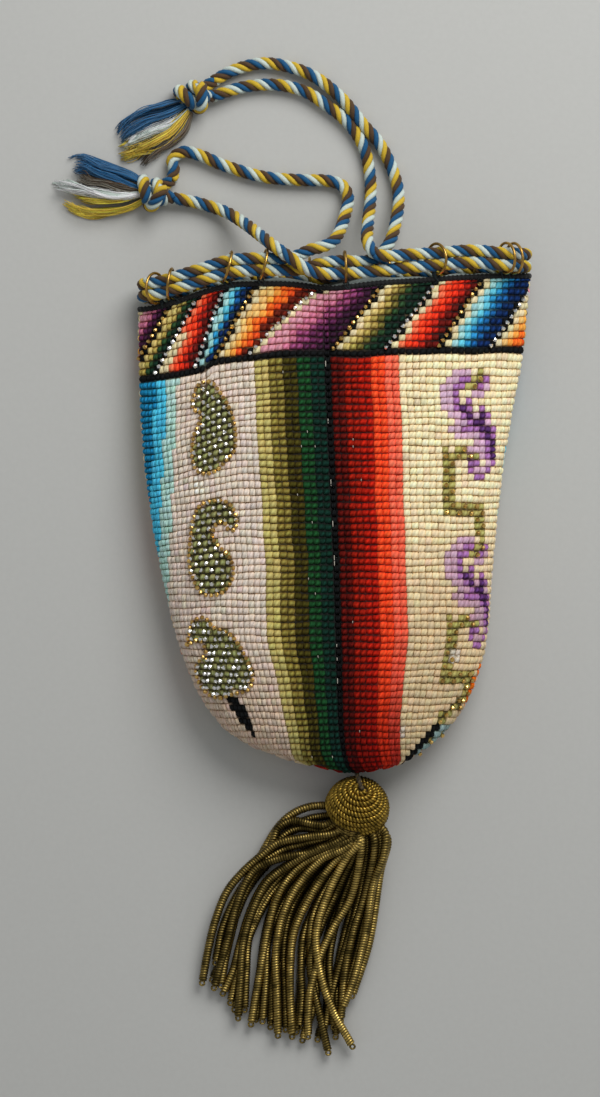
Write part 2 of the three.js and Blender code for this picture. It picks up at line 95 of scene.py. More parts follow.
class Value:
    """A shader socket that takes part in sums: each operator adds one Math node."""

    def __init__(self, finish, socket):
        self.finish = finish
        self.socket = socket

    def math(self, operation, first, second=0.0):
        return self.finish.node("ShaderNodeMath", {"operation": operation}, {0: first, 1: second})

    def __add__(self, other):
        return self.math("ADD", self, other)

    def __radd__(self, other):
        return self.math("ADD", other, self)

    def __sub__(self, other):
        return self.math("SUBTRACT", self, other)

    def __rsub__(self, other):
        return self.math("SUBTRACT", other, self)

    def __mul__(self, other):
        return self.math("MULTIPLY", self, other)

    def __rmul__(self, other):
        return self.math("MULTIPLY", other, self)


class Finish:
    """One material. Nodes are made from a type, its settings, and the values or links of its sockets."""

    def __init__(self, name):
        self.material = bpy.data.materials.new(name)
        self.material.use_nodes = True
        self.tree = self.material.node_tree
        self.tree.nodes.clear()
        self.surface = self.tree.nodes.new("ShaderNodeBsdfPrincipled")
        output = self.tree.nodes.new("ShaderNodeOutputMaterial")
        self.tree.links.new(self.surface.outputs[0], output.inputs["Surface"])

    def feed(self, node, sockets):
        for name, value in sockets.items():
            if isinstance(value, Value):
                self.tree.links.new(value.socket, node.inputs[name])
            else:
                node.inputs[name].default_value = value

    def skin(self, sockets):
        self.feed(self.surface, sockets)

    def node(self, kind, settings, sockets, output=0):
        made = self.tree.nodes.new(kind)
        for name, value in settings.items():
            setattr(made, name, value)
        self.feed(made, sockets)
        return Value(self, made.outputs[output])

    def place(self):
        """Where a point lies in the frame, in metres."""
        return self.node("ShaderNodeNewGeometry", {}, {})

    def noise(self, size, detail=2.0):
        """Soft noise from 0 to 1 whose grains are about size millimetres across."""
        sockets = {"Vector": self.place(), "Scale": 1 / (size * MM), "Detail": detail}
        return self.node("ShaderNodeTexNoise", {}, sockets)

    def attribute(self, name, output="Color"):
        return self.node("ShaderNodeAttribute", {"attribute_name": name}, {}, output)

    def lay(self):
        """The three numbers of the vector that says how the yarn lies at a point."""
        vector = self.attribute("lay", "Vector")
        return [self.node("ShaderNodeSeparateXYZ", {}, {0: vector}, part) for part in range(3)]

    def spread(self, value, start, end, first, last):
        """A value from start to end as one from first to last."""
        return self.node("ShaderNodeMapRange", {}, {0: value, 1: start, 2: end, 3: first, 4: last})

    def mix(self, factor, first, second, blend="MIX"):
        settings = {"data_type": "RGBA", "blend_type": blend}
        return self.node("ShaderNodeMix", settings, {0: factor, 6: first, 7: second}, 2)

    def dyed(self, tone):
        """The dye of a point times a colour."""
        return self.mix(1.0, self.attribute("dye"), tone, "MULTIPLY")

    def grey(self, value):
        """A number as a colour."""
        return self.node("ShaderNodeCombineColor", {}, {0: value, 1: value, 2: value})

    def bump(self, height, strength, distance):
        sockets = {"Height": height, "Strength": strength, "Distance": distance * MM}
        return self.node("ShaderNodeBump", {}, sockets)


floor_finish = Finish("floor_paper")
floor_finish.skin({
    "Base Color": floor_finish.mix(floor_finish.noise(size=2.0), *map(srgb, FLOOR_TONES)),
    "Roughness": 0.9,
    "Specular IOR Level": 0.2,
})
floor_mesh = bpy.data.meshes.new("floor")
floor_corners = np.array([(-1, -1, 0), (1, -1, 0), (1, 1, 0), (-1, 1, 0)]) * FLOOR_HALF
floor_mesh.from_pydata(((floor_corners + (0, 0, FLOOR_LEVEL)) * MM).tolist(), [], [(0, 1, 2, 3)])
floor_mesh.materials.append(floor_finish.material)
put("floor", floor_mesh)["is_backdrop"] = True

lamp_data = bpy.data.lights.new("window_light", "AREA")
lamp_data.shape = "DISK"
lamp_data.size = LAMP_SIZE
lamp_data.energy = LAMP_POWER
lamp = put("window_light", lamp_data)
lamp.location = [place * MM for place in LAMP_PLACE]
aim = np.array((*VIEW_CENTRE, 0.0)) - LAMP_PLACE
lamp_tilt = math.acos(-aim[2] / np.linalg.norm(aim))
lamp.rotation_euler = (lamp_tilt, 0.0, math.atan2(aim[1], aim[0]) - math.pi / 2)
room = bpy.data.worlds.new("room")
room.use_nodes = True
room.node_tree.nodes["Background"].inputs["Color"].default_value = ROOM_TINT
room.node_tree.nodes["Background"].inputs["Strength"].default_value = ROOM_LIGHT
bpy.context.scene.world = room
bpy.context.scene.view_settings.view_transform = "Standard"

camera_data = bpy.data.cameras.new("camera")
camera_data.sensor_width = SENSOR
camera_data.lens = SENSOR * CAMERA_HEIGHT / (IMAGE_HEIGHT * MM_PER_PIXEL)
camera_data.clip_start = 0.1
camera = put("camera", camera_data)
camera.location = [place * MM for place in (*VIEW_CENTRE, CAMERA_HEIGHT + REFERENCE_HEIGHT)]
bpy.context.scene.camera = camera


# Form of the bag
# The sewn bag is a flattened pouch: sections from the mouth to the drawn-together bottom give its
# outline, the height of its front and back, and the dip along the front seam. Its mouth droops on the left.

SECTION_COLUMNS = ("y", "left", "right", "crown", "floor", "side", "seam", "valley")
Y, LEFT, RIGHT, CROWN, FLOOR, SIDE, SEAM, VALLEY = range(len(SECTION_COLUMNS))
# Past the closed bottom the curves run on with left and right, and front and back, changed over
FOLDED_COLUMNS = [Y, RIGHT, LEFT, FLOOR, CROWN, SIDE, SEAM, VALLEY]
SECTIONS = np.array([
    (146.0, -79.0, 79.0, 19.0, 0.0, 9.0, -3.4, 1.5),
    (118.0, -78.6, 75.8, 25.0, 0.0, 11.0, -3.0, 3.0),
    (80.0, -76.2, 68.8, 30.0, 0.0, 12.0, -1.4, 4.0),
    (40.0, -70.8, 64.2, 33.0, 0.0, 12.5, 0.4, 5.0),
    (5.0, -63.2, 61.2, 34.0, 0.0, 13.0, 1.4, 5.0),
    (-18.0, -54.0, 54.4, 32.0, 0.0, 13.5, 2.0, 4.5),
    (-32.0, -43.0, 44.6, 29.0, 0.6, 14.0, 2.6, 3.5),
    (-41.0, -27.0, 34.0, 25.0, 3.0, 14.2, 3.6, 2.0),
    (-46.5, -8.0, 24.0, 20.5, 7.6, 14.2, 5.6, 0.6),
    (-48.8, 8.4, 8.4, 14.2, 14.2, 14.2, 8.4, 0.0),
])
LAST = len(SECTIONS) - 1
TAPER_REACH = 0.02
GORE_END = LAST - 0.25
GAP = 0.3
WALL = 2.2
FRONT_POWER = 2.6
VALLEY_WIDTH = 9.0
CREASE_SHARE, CREASE_WIDTH = 0.36, 3.0
SEAM_FULLNESS = 0.4
BACK_SEAM_TOP, BACK_SEAM_END = 1.0, 8.4
FLAT_SHARE = 0.72
MOUTH = 146.0
# Where the cloth hangs or stands: how far, and the spans or the middles and widths along X and Y
DROOP, DROOP_X, DROOP_Y = -10.0, (-36.0, -79.0), (0.0, 110.0)
RISE, RISE_X, RISE_Y = 3.4, (5.0, 75.0), (100.0, MOUTH)
DIP, DIP_X, DIP_Y = -1.8, (-1.0, 12.0), (118.0, MOUTH)
SLACK, SLACK_X, SLACK_WIDTH = -3.0, -46.0, 20.0
PLEAT, PLEAT_X, PLEAT_Y, PLEAT_WIDE, PLEAT_TALL = 0.9, -50.4, 114.0, 9.0, 15.0
FOLD, FOLD_OFF, FOLD_WIDE = 1.2, 1.4, 2.2
HOLLOW, HOLLOW_OFF, HOLLOW_WIDE = 0.8, -2.0, 1.8
FOLD_TALL = 13.0
PUCKER_RISE, PUCKER_DRIFT, PUCKER_DRIFT_Y = 0.5, 0.45, (MOUTH, 130.0)
# Waves of the puckered cloth, in radians to a millimetre along X and Y, with the angle each starts at
BROAD_X, BROAD_Y, BROAD_START, BROAD_SHARE = 0.19, 0.12, 0.7, 0.6
BEND, BEND_Y, BEND_START = 1.3, 0.045, 0.9
FINE_X, FINE_Y, FINE_START, FINE_SHARE = 0.31, -0.27, 2.0, 0.4


def ease(value, start, end):
    """0 before start, 1 after end and a smooth step between them."""
    share = np.clip((value - start) / (end - start), 0.0, 1.0)
    return share * share * (3 - 2 * share)


def hump(value, centre, width):
    """1 at a centre, and softly down to 0 on both sides."""
    return np.exp(-(((value - centre) / width) ** 2))


def bridge(start, end, leave, reach, share):
    """A smooth step from start to end that leaves and reaches them at given slopes."""
    span = end - start
    bend = 3 * span - 2 * leave - reach
    return start + share * (leave + share * (bend + share * (leave + reach - 2 * span)))


def section_values(t):
    """Every column of the section table at stations t, on smooth curves through its rows."""
    rows = np.vstack([SECTIONS[:1], SECTIONS, SECTIONS[-2:-1, FOLDED_COLUMNS]])
    row = np.clip(np.floor(t).astype(int), 0, LAST - 1)
    before, start, end, after = (rows[row + step] for step in range(4))
    return bridge(start, end, (end - before) / 2, (after - start) / 2, (t - row)[:, None])


def sections_at(t, depth=0.0):
    """Sections at stations t as a table of columns, moved inwards by depth at right angles to the taper."""
    t = np.atleast_1d(np.asarray(t, float))
    early = section_values(np.maximum(t - TAPER_REACH, 0))
    late = section_values(np.minimum(t + TAPER_REACH, LAST))
    fall = early[:, Y] - late[:, Y]
    narrowing = ((early[:, RIGHT] - early[:, LEFT]) - (late[:, RIGHT] - late[:, LEFT])) / 2
    length = np.hypot(fall, narrowing)
    inwards = depth * fall / length
    section = dict(zip(SECTION_COLUMNS, section_values(t).T))
    section["y"] = section["y"] + depth * narrowing / length
    section["left"] = section["left"] + inwards
    section["right"] = section["right"] - inwards
    section["crown"] = section["crown"] - inwards
    section["floor"] = np.maximum(section["floor"], 0) + inwards
    section["valley"] = section["valley"] + SEAM_FULLNESS * depth
    return section


def pucker(x, y):
    """Slow unevenness of the worked cloth, about one way and the other by 1."""
    bend = BEND * np.sin(BEND_Y * y + BEND_START)
    broad = np.sin(BROAD_X * x + bend) * np.sin(BROAD_Y * y + BROAD_START)
    return BROAD_SHARE * broad + FINE_SHARE * np.sin(FINE_X * x + FINE_Y * y + FINE_START)


def sag(x, y):
    """How far the cloth hangs along Y at a place on the bag."""
    droop = DROOP * ease(x, *DROOP_X) * ease(y, *DROOP_Y)
    rise = RISE * ease(x, *RISE_X) * ease(y, *RISE_Y)
    dip = DIP * hump(x, *DIP_X) * ease(y, *DIP_Y)
    slack = SLACK * hump(x, SLACK_X, SLACK_WIDTH) * hump(y, PLEAT_Y, SLACK_WIDTH)
    pleat = PLEAT * np.tanh(x - PLEAT_X) * hump(x, PLEAT_X, PLEAT_WIDE) * hump(y, PLEAT_Y, PLEAT_TALL)
    drift = PUCKER_DRIFT * pucker(y, x) * ease(y, *PUCKER_DRIFT_Y)
    return droop + rise + dip + slack + pleat + drift


def pleat_rise(x, y):
    """How far the small pleat below the band stands up from the face on the left."""
    fold = FOLD * hump(x, PLEAT_X + FOLD_OFF, FOLD_WIDE)
    hollow = HOLLOW * hump(x, PLEAT_X + HOLLOW_OFF, HOLLOW_WIDE)
    return (fold - hollow) * hump(y, PLEAT_Y, FOLD_TALL)


def face_points(section, x, front, rise=0.0):
    """Points on the front or back of sections at x, which has one row for each section."""
    row = {column: values[:, None] for column, values in section.items()}
    half = (row["right"] - row["left"]) / 2
    across = np.minimum(np.abs(x - (row["left"] + row["right"]) / 2) / half, 1.0)
    if front:
        base = row["side"] + GAP / 2
        off_seam = np.abs(x - row["seam"])
        dip = hump(off_seam, 0.0, VALLEY_WIDTH) + CREASE_SHARE * np.exp(-off_seam / CREASE_WIDTH)
        lumps = pleat_rise(x, row["y"]) + PUCKER_RISE * pucker(x, row["y"])
        top = row["crown"] - base - row["valley"] * dip + lumps
        z = base + top * np.sqrt(1 - across**FRONT_POWER)
    else:
        base = row["side"] - GAP / 2
        bend = np.maximum((across - FLAT_SHARE) / (1 - FLAT_SHARE), 0)
        z = row["floor"] + (base - row["floor"]) * (1 - np.sqrt(1 - bend * bend))
    return np.stack([x, row["y"] + rise + sag(x, row["y"]), z], -1)


def gore_sides(gore, section, t):
    """X of a gore's seam and of its outer edge at each section."""
    back_seam = BACK_SEAM_TOP + (BACK_SEAM_END - BACK_SEAM_TOP) * t / GORE_END
    return section["seam"] if gore["front"] else back_seam, section["left" if gore["side"] < 0 else "right"]


# Pattern
# The design is charted in squares, one to each stitch: shaded stripes beside the seams, a plain ground
# with a motif on each gore, and round the mouth a band of slanting shaded stripes above a black row.

BAND_ROWS = 11
BAND_LINE = 117.8
BODY_PITCH = 2.77
HALF_COLUMN = 1.4
STRIPE_COLUMNS = 2
FIELD_REACH = 96.0
PINCH = (-15.0, 48.0)
SKIN_STEPS, PROFILE_STEPS = 260, 3000
SMALLEST_SQUARE = 0.35
SEAM_LAP = 0.4
EDGE_ROW = 1.3
LEAST_HEIGHT = 0.5
WOOL = {
    "black": (14, 17, 19), "bottle": (10, 44, 36), "green": (20, 66, 34), "dark olive": (58, 56, 14),
    "olive": (122, 117, 56), "straw": (170, 165, 104), "pink": (222, 211, 200), "mint": (178, 220, 216),
    "aqua": (78, 196, 236), "blue": (24, 126, 180), "maroon": (88, 16, 10), "dark red": (142, 26, 10),
    "red brown": (160, 26, 10), "vermilion": (228, 72, 36), "coral": (246, 106, 82),
    "cream": (248, 233, 194), "orange": (224, 112, 22), "lilac": (210, 178, 204),
    "purple": (146, 104, 168), "dark purple": (78, 48, 106), "stem": (156, 158, 98),
    "moss": (108, 114, 76), "leaf": (132, 142, 96), "sky": (166, 204, 214),
}
# Light wool of each field is painted darker towards the bottom of the bag between two heights, and its
# stripes at the foot: painted shade where the bag turns away from the lamp.
FIELDS = {
    "green": {
        "stripes": ("bottle", "green", "dark olive", "olive", "straw"), "stripe pitch": 2.9,
        "ground": "pink", "ground pitch": 2.36, "tightening": 0.017, "least pitch": 2.1, "pinch": 0.3,
        "soil from": -25.0, "soil to": 35.0, "bottom_shade": (0.18, 0.25, 0.33), "foot_shade": (0.1, 0.05, 0.0),
    },
    "red": {
        "stripes": ("maroon", "dark red", "red brown", "vermilion", "coral"), "stripe pitch": 2.82,
        "ground": "cream", "ground pitch": 2.7, "tightening": 0.009, "least pitch": 2.5, "pinch": 0.2,
        "soil from": -70.0, "soil to": 0.0, "bottom_shade": (0.27, 0.32, 0.36), "foot_shade": (0.44, 0.6, 0.56),
    },
}

# The outer edge of the pink ground, where paler and then stronger blues follow it, and of the cream ground
PINK_EDGE = ((118.0, -62.2), (60.0, -65.2), (25.0, -66.8), (5.0, -66.0), (-50.0, -66.0))
CREAM_EDGE = ((118.0, 90.0), (48.0, 70.0), (10.0, 66.0), (-8.0, 57.4), (-22.0, 51.6), (-50.0, 60.0))
BLUES = ("mint", "mint", "aqua", "aqua", "blue")
BLUE_PITCH = 2.2

# Slanting stripes of the band: X of the bead line in the lowest and the highest row, shades, and beads
BAND_STRIPES = (
    (-96.0, -82.0, "purple", "steel"),
    (-81.8, -67.8, "green", "gilt"),
    (-70.8, -56.6, "red", "steel"),
    (-55.0, -45.4, "blue", "steel"),
    (-46.8, -33.4, "orange", "gilt"),
    (-32.6, -9.8, "purple", "steel"),
    (0.2, 16.6, "green", "gilt"),
    (21.2, 38.5, "red", "steel"),
    (42.2, 57.4, "blue", "gilt"),
    (63.0, 80.0, "orange", "steel"),
    (84.0, 101.0, "purple", "steel"),
)
SHADES_COLUMN, BEADS_COLUMN = 2, 3
LAST_STRIPE_WIDTH = 21.0
NARROW_STRIPE, LEAST_STRIPE = 5, 3
BAND_SHADES = {
    "purple": ((196, 138, 158), (170, 102, 134), (128, 64, 110), (84, 38, 78), (50, 24, 50)),
    "green": ((190, 176, 112), (150, 140, 76), (96, 96, 46), (36, 66, 40), (16, 42, 32)),
    "red": ((230, 108, 76), (228, 62, 34), (210, 48, 26), (164, 34, 22), (88, 20, 16)),
    "blue": ((156, 210, 214), (92, 186, 214), (38, 130, 188), (22, 86, 150), (12, 38, 86)),
    "orange": ((236, 196, 122), (236, 160, 70), (226, 102, 36), (206, 72, 30), (90, 30, 18)),
}
BAND_CREAM = (222, 212, 172)
PLAN_CENTRE = (334.5, 651.5)


def plan(u, v):
    """A place read off the photograph, in pixels, as X and Y in millimetres."""
    return MM_PER_PIXEL * (u - PLAN_CENTRE[0]), MM_PER_PIXEL * (PLAN_CENTRE[1] - v)


# Curved leaf motifs of the pink ground, as listed outlines
LEAVES = [[plan(*place) for place in outline] for outline in (
    ((199, 386), (211, 383), (220, 393), (228, 406), (234, 422), (236, 438), (234, 452), (225, 463),
     (215, 472), (203, 474), (195, 466), (193, 450), (195, 436), (201, 420), (200, 412), (194, 410),
     (194, 399)),
    ((200, 507), (210, 502), (226, 502), (236, 514), (236, 529), (229, 529), (225, 523), (217, 524),
     (213, 536), (219, 546), (230, 557), (234, 572), (229, 586), (218, 594), (203, 593), (194, 579),
     (190, 562), (191, 541), (194, 520)),
    ((193, 622), (205, 617), (214, 627), (230, 633), (241, 647), (249, 663), (253, 678), (248, 689),
     (233, 693), (219, 697), (206, 691), (198, 678), (197, 665), (206, 653), (203, 642), (195, 640),
     (188, 645), (190, 634)),
)]
OUTLINE_STEPS = 6
CLOSE_BEADED_LEAF = 2
LEFT_DART = np.array([plan(*place) for place in (
    (226, 698), (239, 698), (247, 712), (254, 737), (244, 727), (234, 714),
)])
RIGHT_DART = (plan(438, 726), plan(401, 768))
DART_HALF = 1.05
WORN = (250, 246, 236)
BARE_SPOTS = ((plan(402, 731), 2.0, 3.6), (plan(454, 656), 2.6, 3.6), (plan(200, 486), 1.7, 3.0))
LEAF_SPRAY = (plan(458, 704), plan(442, 718))
SPRAY_HALF = 1.8
SKY_BEADS = 5

# Flower and beaded stem of the cream ground: one repeat, charted. l, P and D are three purples,
# s is the green stem, and g a stem stitch that carries a bead.
FLOWER_REPEAT = (
    "...lll.s...",
    "..llPPsgP..",
    ".llPPsgPl..",
    ".llP..ll...",
    ".llP.P.....",
    ".llPDP.P...",
    "..llPDlDP..",
    "...llPDDl..",
    "..llPPPDDP.",
    "...llllPDP.",
    "......llPD.",
    ".s.sglllPD.",
    ".gsgsgslPD.",
    ".sg..PP.lP.",
    ".gs..PllP..",
    ".sg...PP...",
    ".gs........",
    ".sg........",
    ".gs........",
    ".sgsgsgs...",
    ".gsgsgsg...",
    "......gs...",
    "......sg...",
    "......gs...",
)
FLOWER_FIRST_ROW, FLOWER_LAST_ROW, FLOWER_FIRST_COLUMN = 2, 49, 5
FLOWER_WOOL = {"l": "lilac", "P": "purple", "D": "dark purple", "s": "stem", "g": "stem"}


def within(outline, x, y):
    """True if a place lies inside a closed outline."""
    (x0, y0), (x1, y1) = outline.T, np.roll(outline, -1, 0).T
    passed = (y0 > y) != (y1 > y)
    crossing = x0 + (x1 - x0) * (y - y0) / np.where(passed, y1 - y0, 1.0)
    return np.count_nonzero(passed & (x < crossing)) % 2 == 1


def rounded(outline):
    """A closed outline as a smooth curve through its points."""
    before, start, end, after = (np.roll(outline, -step, 0)[:, None] for step in (-1, 0, 1, 2))
    share = (np.arange(OUTLINE_STEPS) / OUTLINE_STEPS)[None, :, None]
    return bridge(start, end, (end - before) / 2, (after - start) / 2, share).reshape(-1, 2)


LEAF_OUTLINES = [rounded(outline) for outline in LEAVES]


def edge_of(table, y):
    return np.interp(y, *zip(*sorted(table)))


def near_line(line, x, y):
    """Distance from a place to a straight line between two others."""
    start, end = np.array(line)
    share = np.clip(np.dot((x, y) - start, end - start) / np.dot(end - start, end - start), 0, 1)
    return np.linalg.norm(start + share * (end - start) - (x, y))


def bead_line(stripe, row):
    """Where a stripe's bead line crosses a row of the band."""
    low, high = stripe[:2]
    return high + (low - high) * (row - 1) / (BAND_ROWS - 3)


def band_stitch(row, x, pitch):
    """Wool of a stitch in the band."""
    starts = [bead_line(stripe, row) for stripe in BAND_STRIPES]
    ends = starts[1:] + [starts[-1] + LAST_STRIPE_WIDTH]
    here = max(index for index, start in enumerate(starts) if start - pitch / 2 <= x or index == 0)
    step = round((x - starts[here]) / pitch)
    count = max(round((ends[here] - starts[here]) / pitch), LEAST_STRIPE)
    if row == BAND_ROWS - 1 or step <= 0:
        return WOOL["black"]
    first = 2 if count > NARROW_STRIPE else 1
    if step < first:
        return BAND_CREAM
    shades = BAND_SHADES[BAND_STRIPES[here][SHADES_COLUMN]]
    return shades[min(int((step - first) / max(count - 1 - first, 1) * len(shades)), len(shades) - 1)]


def ground_stitch(field, row, column, x, y):
    """Wool and bead of a stitch below the band. x is as seen from the stitch's own side of the bag."""
    stripes = FIELDS[field]["stripes"]
    striped = 1 + STRIPE_COLUMNS * len(stripes)
    dart = within(LEFT_DART, x, y) if field == "green" else near_line(RIGHT_DART, x, y) < DART_HALF
    if dart or column == 0:
        return "black", None
    if column < striped:
        return stripes[(column - 1) // STRIPE_COLUMNS], None
    if field == "green":
        for leaf, outline in enumerate(LEAF_OUTLINES):
            if within(outline, x, y):
                close = leaf == CLOSE_BEADED_LEAF
                beaded = (row + 2 * column) % 3 > 0 if close else (row + column) % 2
                return ("leaf" if close or not beaded else "moss"), "steel" if beaded else None
        past = edge_of(PINK_EDGE, y) - x
        return (BLUES[min(int(past / BLUE_PITCH), len(BLUES) - 1)] if past > 0 else "pink"), None
    line = row - BAND_ROWS - FLOWER_FIRST_ROW
    stitch = column - striped - FLOWER_FIRST_COLUMN
    if 0 <= line and row - BAND_ROWS <= FLOWER_LAST_ROW and 0 <= stitch < len(FLOWER_REPEAT[0]):
        mark = FLOWER_REPEAT[line % len(FLOWER_REPEAT)][stitch]
        if mark != ".":
            return FLOWER_WOOL[mark], "gilt" if mark == "g" else None
    if x > edge_of(CREAM_EDGE, y):
        return "orange", None
    if near_line(LEAF_SPRAY, x, y) < SPRAY_HALF:
        return ("moss", "gilt") if (row + column) % 2 else ("stem", None)
    (x0, y0), (x1, y1) = RIGHT_DART
    if (x1 - x0) * (y - y0) - (y1 - y0) * (x - x0) > 0 and y < y0:
        return ("stem", "gilt") if (row + 2 * column) % SKY_BEADS == 0 else ("sky", None)
    return "cream", None


def unit(vectors):
    return vectors / np.maximum(np.linalg.norm(vectors, axis=-1, keepdims=True), 1e-9)


def run_of(line):
    """Distance along a line of points, from its first one."""
    return np.concatenate([[0.0], np.cumsum(np.linalg.norm(np.diff(line, axis=0), axis=1))])


def follow(line, places):
    """Points at given distances along a line."""
    run = run_of(line)
    return np.stack([np.interp(places, run, values) for values in np.transpose(line)], -1)


profile_t = np.linspace(0.0, GORE_END, PROFILE_STEPS)
profile = section_values(profile_t)
profile_run = run_of(profile[:, [Y, CROWN]])
band_run = np.interp(-BAND_LINE, -profile[:, Y], profile_run)
body_rows = round((profile_run[-1] - band_run) / BODY_PITCH)
band_runs = np.concatenate([[0.0], np.linspace(EDGE_ROW, band_run, BAND_ROWS)])
body_runs = np.linspace(band_run, profile_run[-1], body_rows + 1)
row_t = np.interp(np.concatenate([band_runs, body_runs[1:]]), profile_run, profile_t)


def worked_squares(gore):
    """The squares of one gore that carry a stitch: corners, middle, facing, row, column, dye and bead."""
    front, side, field = gore["front"], gore["side"], FIELDS[gore["field"]]
    facing = 1 if front else -1
    striped = STRIPE_COLUMNS * len(field["stripes"])
    widths = [HALF_COLUMN] + [field["stripe pitch"]] * striped
    while sum(widths) < FIELD_REACH:
        pitch = field["ground pitch"] - field["tightening"] * (len(widths) - 1 - striped)
        widths.append(max(pitch, field["least pitch"]))
    lines = np.concatenate([[0.0], np.cumsum(widths)])
    section = sections_at(row_t)
    pinch = 1 - field["pinch"] * ease(-section["y"], *PINCH)
    seam, edge = gore_sides(gore, section, row_t)
    seam = seam - side * SEAM_LAP
    reach = np.sin(np.linspace(0, math.pi / 2, SKIN_STEPS))
    skin = face_points(section, seam[:, None] + (edge - seam)[:, None] * reach, front)
    grid = np.array([follow(line, lines * share) for line, share in zip(skin, pinch)])
    near, far = (grid[:, :-1], grid[:, 1:]) if side > 0 else (grid[:, 1:], grid[:, :-1])
    corners = np.stack([near[:-1], far[:-1], near[1:], far[1:]], 2)
    wide, tall = (
        np.linalg.norm(corners[:, :, there].sum(2) - corners[:, :, here].sum(2), axis=-1) / 2
        for here, there in (([0, 2], [1, 3]), ([0, 1], [2, 3]))
    )
    rows, columns = np.nonzero((wide > SMALLEST_SQUARE * np.array(widths)) & (tall > LEAST_HEIGHT))
    corners = corners[rows, columns]
    normal = unit(np.cross(corners[:, 1] - corners[:, 2], corners[:, 0] - corners[:, 3]))
    normal = normal * np.where(normal[:, 2:] * facing < 0, -1, 1)
    middle = corners.mean(1)
    wools, beads = [], []
    for row, column, (x, y) in zip(rows, columns, middle[:, :2]):
        if row < BAND_ROWS:
            wools.append(band_stitch(row, x * facing, field["ground pitch"]))
            beads.append(None)
        else:
            wool, bead = ground_stitch(gore["field"], row, column, x * facing, y)
            wools.append(WOOL[wool])
            beads.append(bead)
    bare = np.zeros(len(rows), bool)
    for spot, half_x, half_y in BARE_SPOTS if front else ():
        bare |= (np.abs(middle[:, 0] - spot[0]) < half_x) & (np.abs(middle[:, 1] - spot[1]) < half_y)
    return {
        "corners": corners, "middle": middle, "normal": normal, "row": rows, "column": columns,
        "dye": np.where(bare[:, None], dye(WORN), dye(wools)), "bead": beads, "bare": bare,
    }


# Canvas
# Each gore is a piece of stiff open linen canvas, about ten threads to the inch, that carries the wool.
# The fluff of the wool colours it between the stitches, darkened further as painted shade in the gaps, most
# under dark wool, and it is pale at a few bare spots.

CANVAS_DEPTH = 1.15
CANVAS_THICKNESS = 0.6
CANVAS_COLUMNS = 34
CANVAS_ROWS = 92
CANVAS_SHADE = np.array((0.62, 0.5, 0.4))
GAP_SHADE = 0.55
LIGHT_WOOL = (0.12, 0.5)
LINEN = dye((252, 248, 236))
THREADS = {"X": 118.0, "Y": 112.0}
THREAD_TONES = ((196, 188, 172), (255, 255, 255))
TURN = 2 * math.pi
TILE_MARGIN = 0.06
SHELL_HALF, SHELL_RIM = 0.49, 0.01
HIDDEN_SPOT = 0.002
GORES = {
    "gore_front_left": {"front": True, "side": -1, "field": "green"},
    "gore_front_right": {"front": True, "side": 1, "field": "red"},
    "gore_back_left": {"front": False, "side": -1, "field": "red"},
    "gore_back_right": {"front": False, "side": 1, "field": "green"},
}

canvas_finish = Finish("linen_canvas")
warp, weft = (
    canvas_finish.node("ShaderNodeTexWave", {"bands_direction": direction}, {
        "Vector": canvas_finish.place(), "Scale": scale, "Distortion": 0.6,
    }) for direction, scale in THREADS.items()
)
canvas_finish.skin({
    "Base Color": canvas_finish.dyed(canvas_finish.mix(warp * weft, *map(srgb, THREAD_TONES))),
    "Roughness": 0.95,
    "Normal": canvas_finish.bump(warp * weft, strength=0.6, distance=0.4),
})


class Work:
    """Points, faces, colours and bake layout of one piece while it is made, in parts of the same build."""

    def __init__(self):
        self.points = []
        self.colours = []
        self.grain = []
        self.faces = []
        self.layout = []
        self.tiles = []
        self.count = 0
        self.parts = 0

    def add(self, points, faces, layout, colours, grain=0.0):
        """points is one part or several, and layout places each face corner in the part's own square."""
        points = np.reshape(points, (-1, *np.shape(points)[-2:]))
        parts, corners = points.shape[:2]
        for part in range(parts):
            start = self.count + part * corners
            self.faces += [tuple(start + corner for corner in face) for face in faces]
        flat = np.array([spot for face in layout for spot in face], float)
        self.layout.append(np.broadcast_to(flat, (parts, len(flat), 2)).reshape(-1, 2))
        self.tiles.append(np.repeat(self.parts + np.arange(parts), len(flat)))
        for store, values in ((self.points, points), (self.colours, colours), (self.grain, grain)):
            store.append(np.broadcast_to(values, points.shape).reshape(-1, 3))
        self.count += parts * corners
        self.parts += parts

    def finish(self, name, material, slot, node=None, smooth=True):
        """The piece as an object that rides on the frame and stands for a node of it, if one is named."""
        mesh = bpy.data.meshes.new(name)
        mesh.from_pydata((np.concatenate(self.points) * MM).tolist(), [], self.faces)
        colours = np.pad(np.concatenate(self.colours), ((0, 0), (0, 1)), constant_values=1.0)
        dyes = mesh.attributes.new("dye", "FLOAT_COLOR", "POINT")
        dyes.data.foreach_set("color", colours.astype(np.float32).ravel())
        lay = mesh.attributes.new("lay", "FLOAT_VECTOR", "POINT")
        lay.data.foreach_set("vector", np.concatenate(self.grain).astype(np.float32).ravel())
        across = math.ceil(math.sqrt(self.parts))
        tiles = np.concatenate(self.tiles)
        corner = np.stack([tiles % across, tiles // across], 1) + TILE_MARGIN
        spots = (corner + (1 - 2 * TILE_MARGIN) * np.concatenate(self.layout)) / across
        mesh.uv_layers.new(name="OFBake").data.foreach_set("uv", spots.astype(np.float32).ravel())
        mesh.polygons.foreach_set("use_smooth", np.full(len(mesh.polygons), smooth))
        mesh.validate()
        mesh.update()
        mesh.materials.append(material.material)
        made = put(name, mesh)
        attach(made, "root")
        if node:
            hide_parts(node)
        return made


def around(steps):
    """Angles of a full turn, in even steps."""
    return np.arange(steps) / steps * TURN


def hidden_spot(corners):
    """Bake layout of a face that is not seen, close to the middle of a square."""
    angle = around(corners)
    return tuple(zip(0.5 + HIDDEN_SPOT * np.cos(angle), 0.5 + HIDDEN_SPOT * np.sin(angle)))


def turned(faces):
    """Faces, or their layout, from the other side."""
    return [tuple(reversed(face)) for face in faces]


